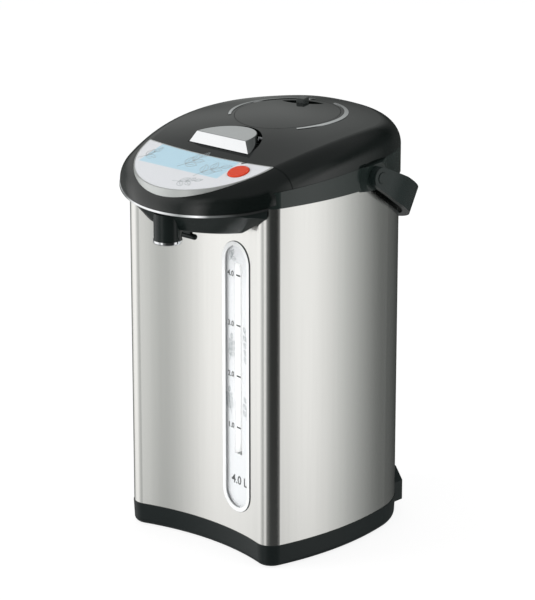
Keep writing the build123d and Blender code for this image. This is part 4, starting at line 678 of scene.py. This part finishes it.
def room_ramp(stops):
    """The room's brightness round the horizon."""
    ramp = node(tree, "ShaderNodeValToRGB", {"Fac": turn})
    bar = ramp.color_ramp
    while len(bar.elements) > 1:
        bar.elements.remove(bar.elements[-1])
    for i, (degrees, value) in enumerate(stops):
        position = degrees / 360 + 0.5
        stop = bar.elements[0] if i == 0 else bar.elements.new(position)
        stop.position = position
        # the dim parts are a little green, the bright ones neutral
        stop.color = (value * (0.95 + 0.05 * value), value, value * (0.97 + 0.02 * value), 1.0)
    return ramp.outputs["Color"]


sine = xyz.outputs["Z"]
rise = ranged(tree, sine, 0, 1, LOW_END, HIGH_START, smooth=True)
room = between(tree, rise, room_ramp(LOW_ROOM), room_ramp(HIGH_ROOM))
for start, end, tone, most in CAPS:
    room = between(tree, ranged(tree, sine, 0, most, start, end, smooth=True), room, (tone, tone, tone, 1.0))
mirrored = node(tree, "ShaderNodeBackground", {"Color": room}, Strength=1.0)
ambient = node(tree, "ShaderNodeBackground", Color=(AMBIENT, AMBIENT, AMBIENT, 1.0), Strength=1.0)
white = tree.nodes["Background"]
white.inputs["Color"].default_value = (1, 1, 1, 1)
paths = node(tree, "ShaderNodeLightPath")
bounced = node(tree, "ShaderNodeMixShader", {"Fac": paths.outputs["Is Glossy Ray"], 1: ambient.outputs[0],
                                             2: mirrored.outputs[0]})
seen = node(tree, "ShaderNodeMath", {0: paths.outputs["Is Camera Ray"],
                                     1: paths.outputs["Is Transmission Ray"]}, operation="MAXIMUM")
both = node(tree, "ShaderNodeMixShader", {"Fac": seen.outputs[0], 1: bounced.outputs[0],
                                          2: white.outputs[0]})
tree.links.new(both.outputs[0], tree.nodes["World Output"].inputs["Surface"])
print("room with", len(LOW_ROOM), "+", len(HIGH_ROOM), "stops")

# %% [markdown]
# ## Lamps
# Three soft boxes give the shapes their modelling. They stay out of the mirror image, where the
# room already stands. The strongest stands left of the camera and lights the front and the panel.

# %% Lamps
BOX_AIM_Z = 180.0  # the boxes look at the middle of the body


def soft_box(name, azimuth, elevation, distance, width, height, power):
    """An area light that looks at the pot from an azimuth, counted like the room's."""
    a, e = radians(azimuth), radians(elevation)
    away = Vector((sin(a) * cos(e), -cos(a) * cos(e), sin(e)))
    data = bpy.data.lights.new(name, "AREA")
    data.shape = "RECTANGLE"
    data.size, data.size_y, data.energy = width, height, power
    lamp = bpy.data.objects.new(name, data)
    lamp.location = place(0, 0, BOX_AIM_Z) + away * distance
    lamp.rotation_euler = away.to_track_quat("Z", "Y").to_euler()
    lamp.visible_glossy = False
    bpy.context.scene.collection.objects.link(lamp)
    return lamp


soft_box("soft_box_left", -40, 12, 1.8, 1.2, 1.6, 24)
soft_box("soft_box_right", 110, 12, 1.8, 1.2, 1.6, 9)
soft_box("soft_box_top", 40, 80, 1.6, 1.4, 1.4, 2)

# %% [markdown]
# ## The camera
# A long lens from the front right, a little above: the focal length is counted for a picture
# whose long side, its height, is 600 pixels on a 36 mm sensor.

# %% Camera
CAMERA_AZIMUTH, CAMERA_ELEVATION, CAMERA_DISTANCE = radians(42.507), radians(17.144), 2.4314
AIM = (-7.766, 0, 199.189)  # the middle of the picture, on the body
SENSOR, LENS = 36.0, 166.85
back = Vector((sin(CAMERA_AZIMUTH) * cos(CAMERA_ELEVATION),
               -cos(CAMERA_AZIMUTH) * cos(CAMERA_ELEVATION), sin(CAMERA_ELEVATION)))
right = Vector((cos(CAMERA_AZIMUTH), sin(CAMERA_AZIMUTH), 0))
up = back.cross(right)
camera_data = bpy.data.cameras.new("camera")
camera_data.sensor_width = SENSOR
camera_data.lens = LENS
camera = bpy.data.objects.new("camera", camera_data)
camera.matrix_world = (Matrix.Translation(place(*AIM) + back * CAMERA_DISTANCE)
                       @ Matrix((right, up, back)).transposed().to_4x4())
bpy.context.scene.collection.objects.link(camera)
bpy.context.scene.camera = camera
bpy.context.scene.view_settings.view_transform = "Standard"
print("camera at", [round(v, 3) for v in camera.location])
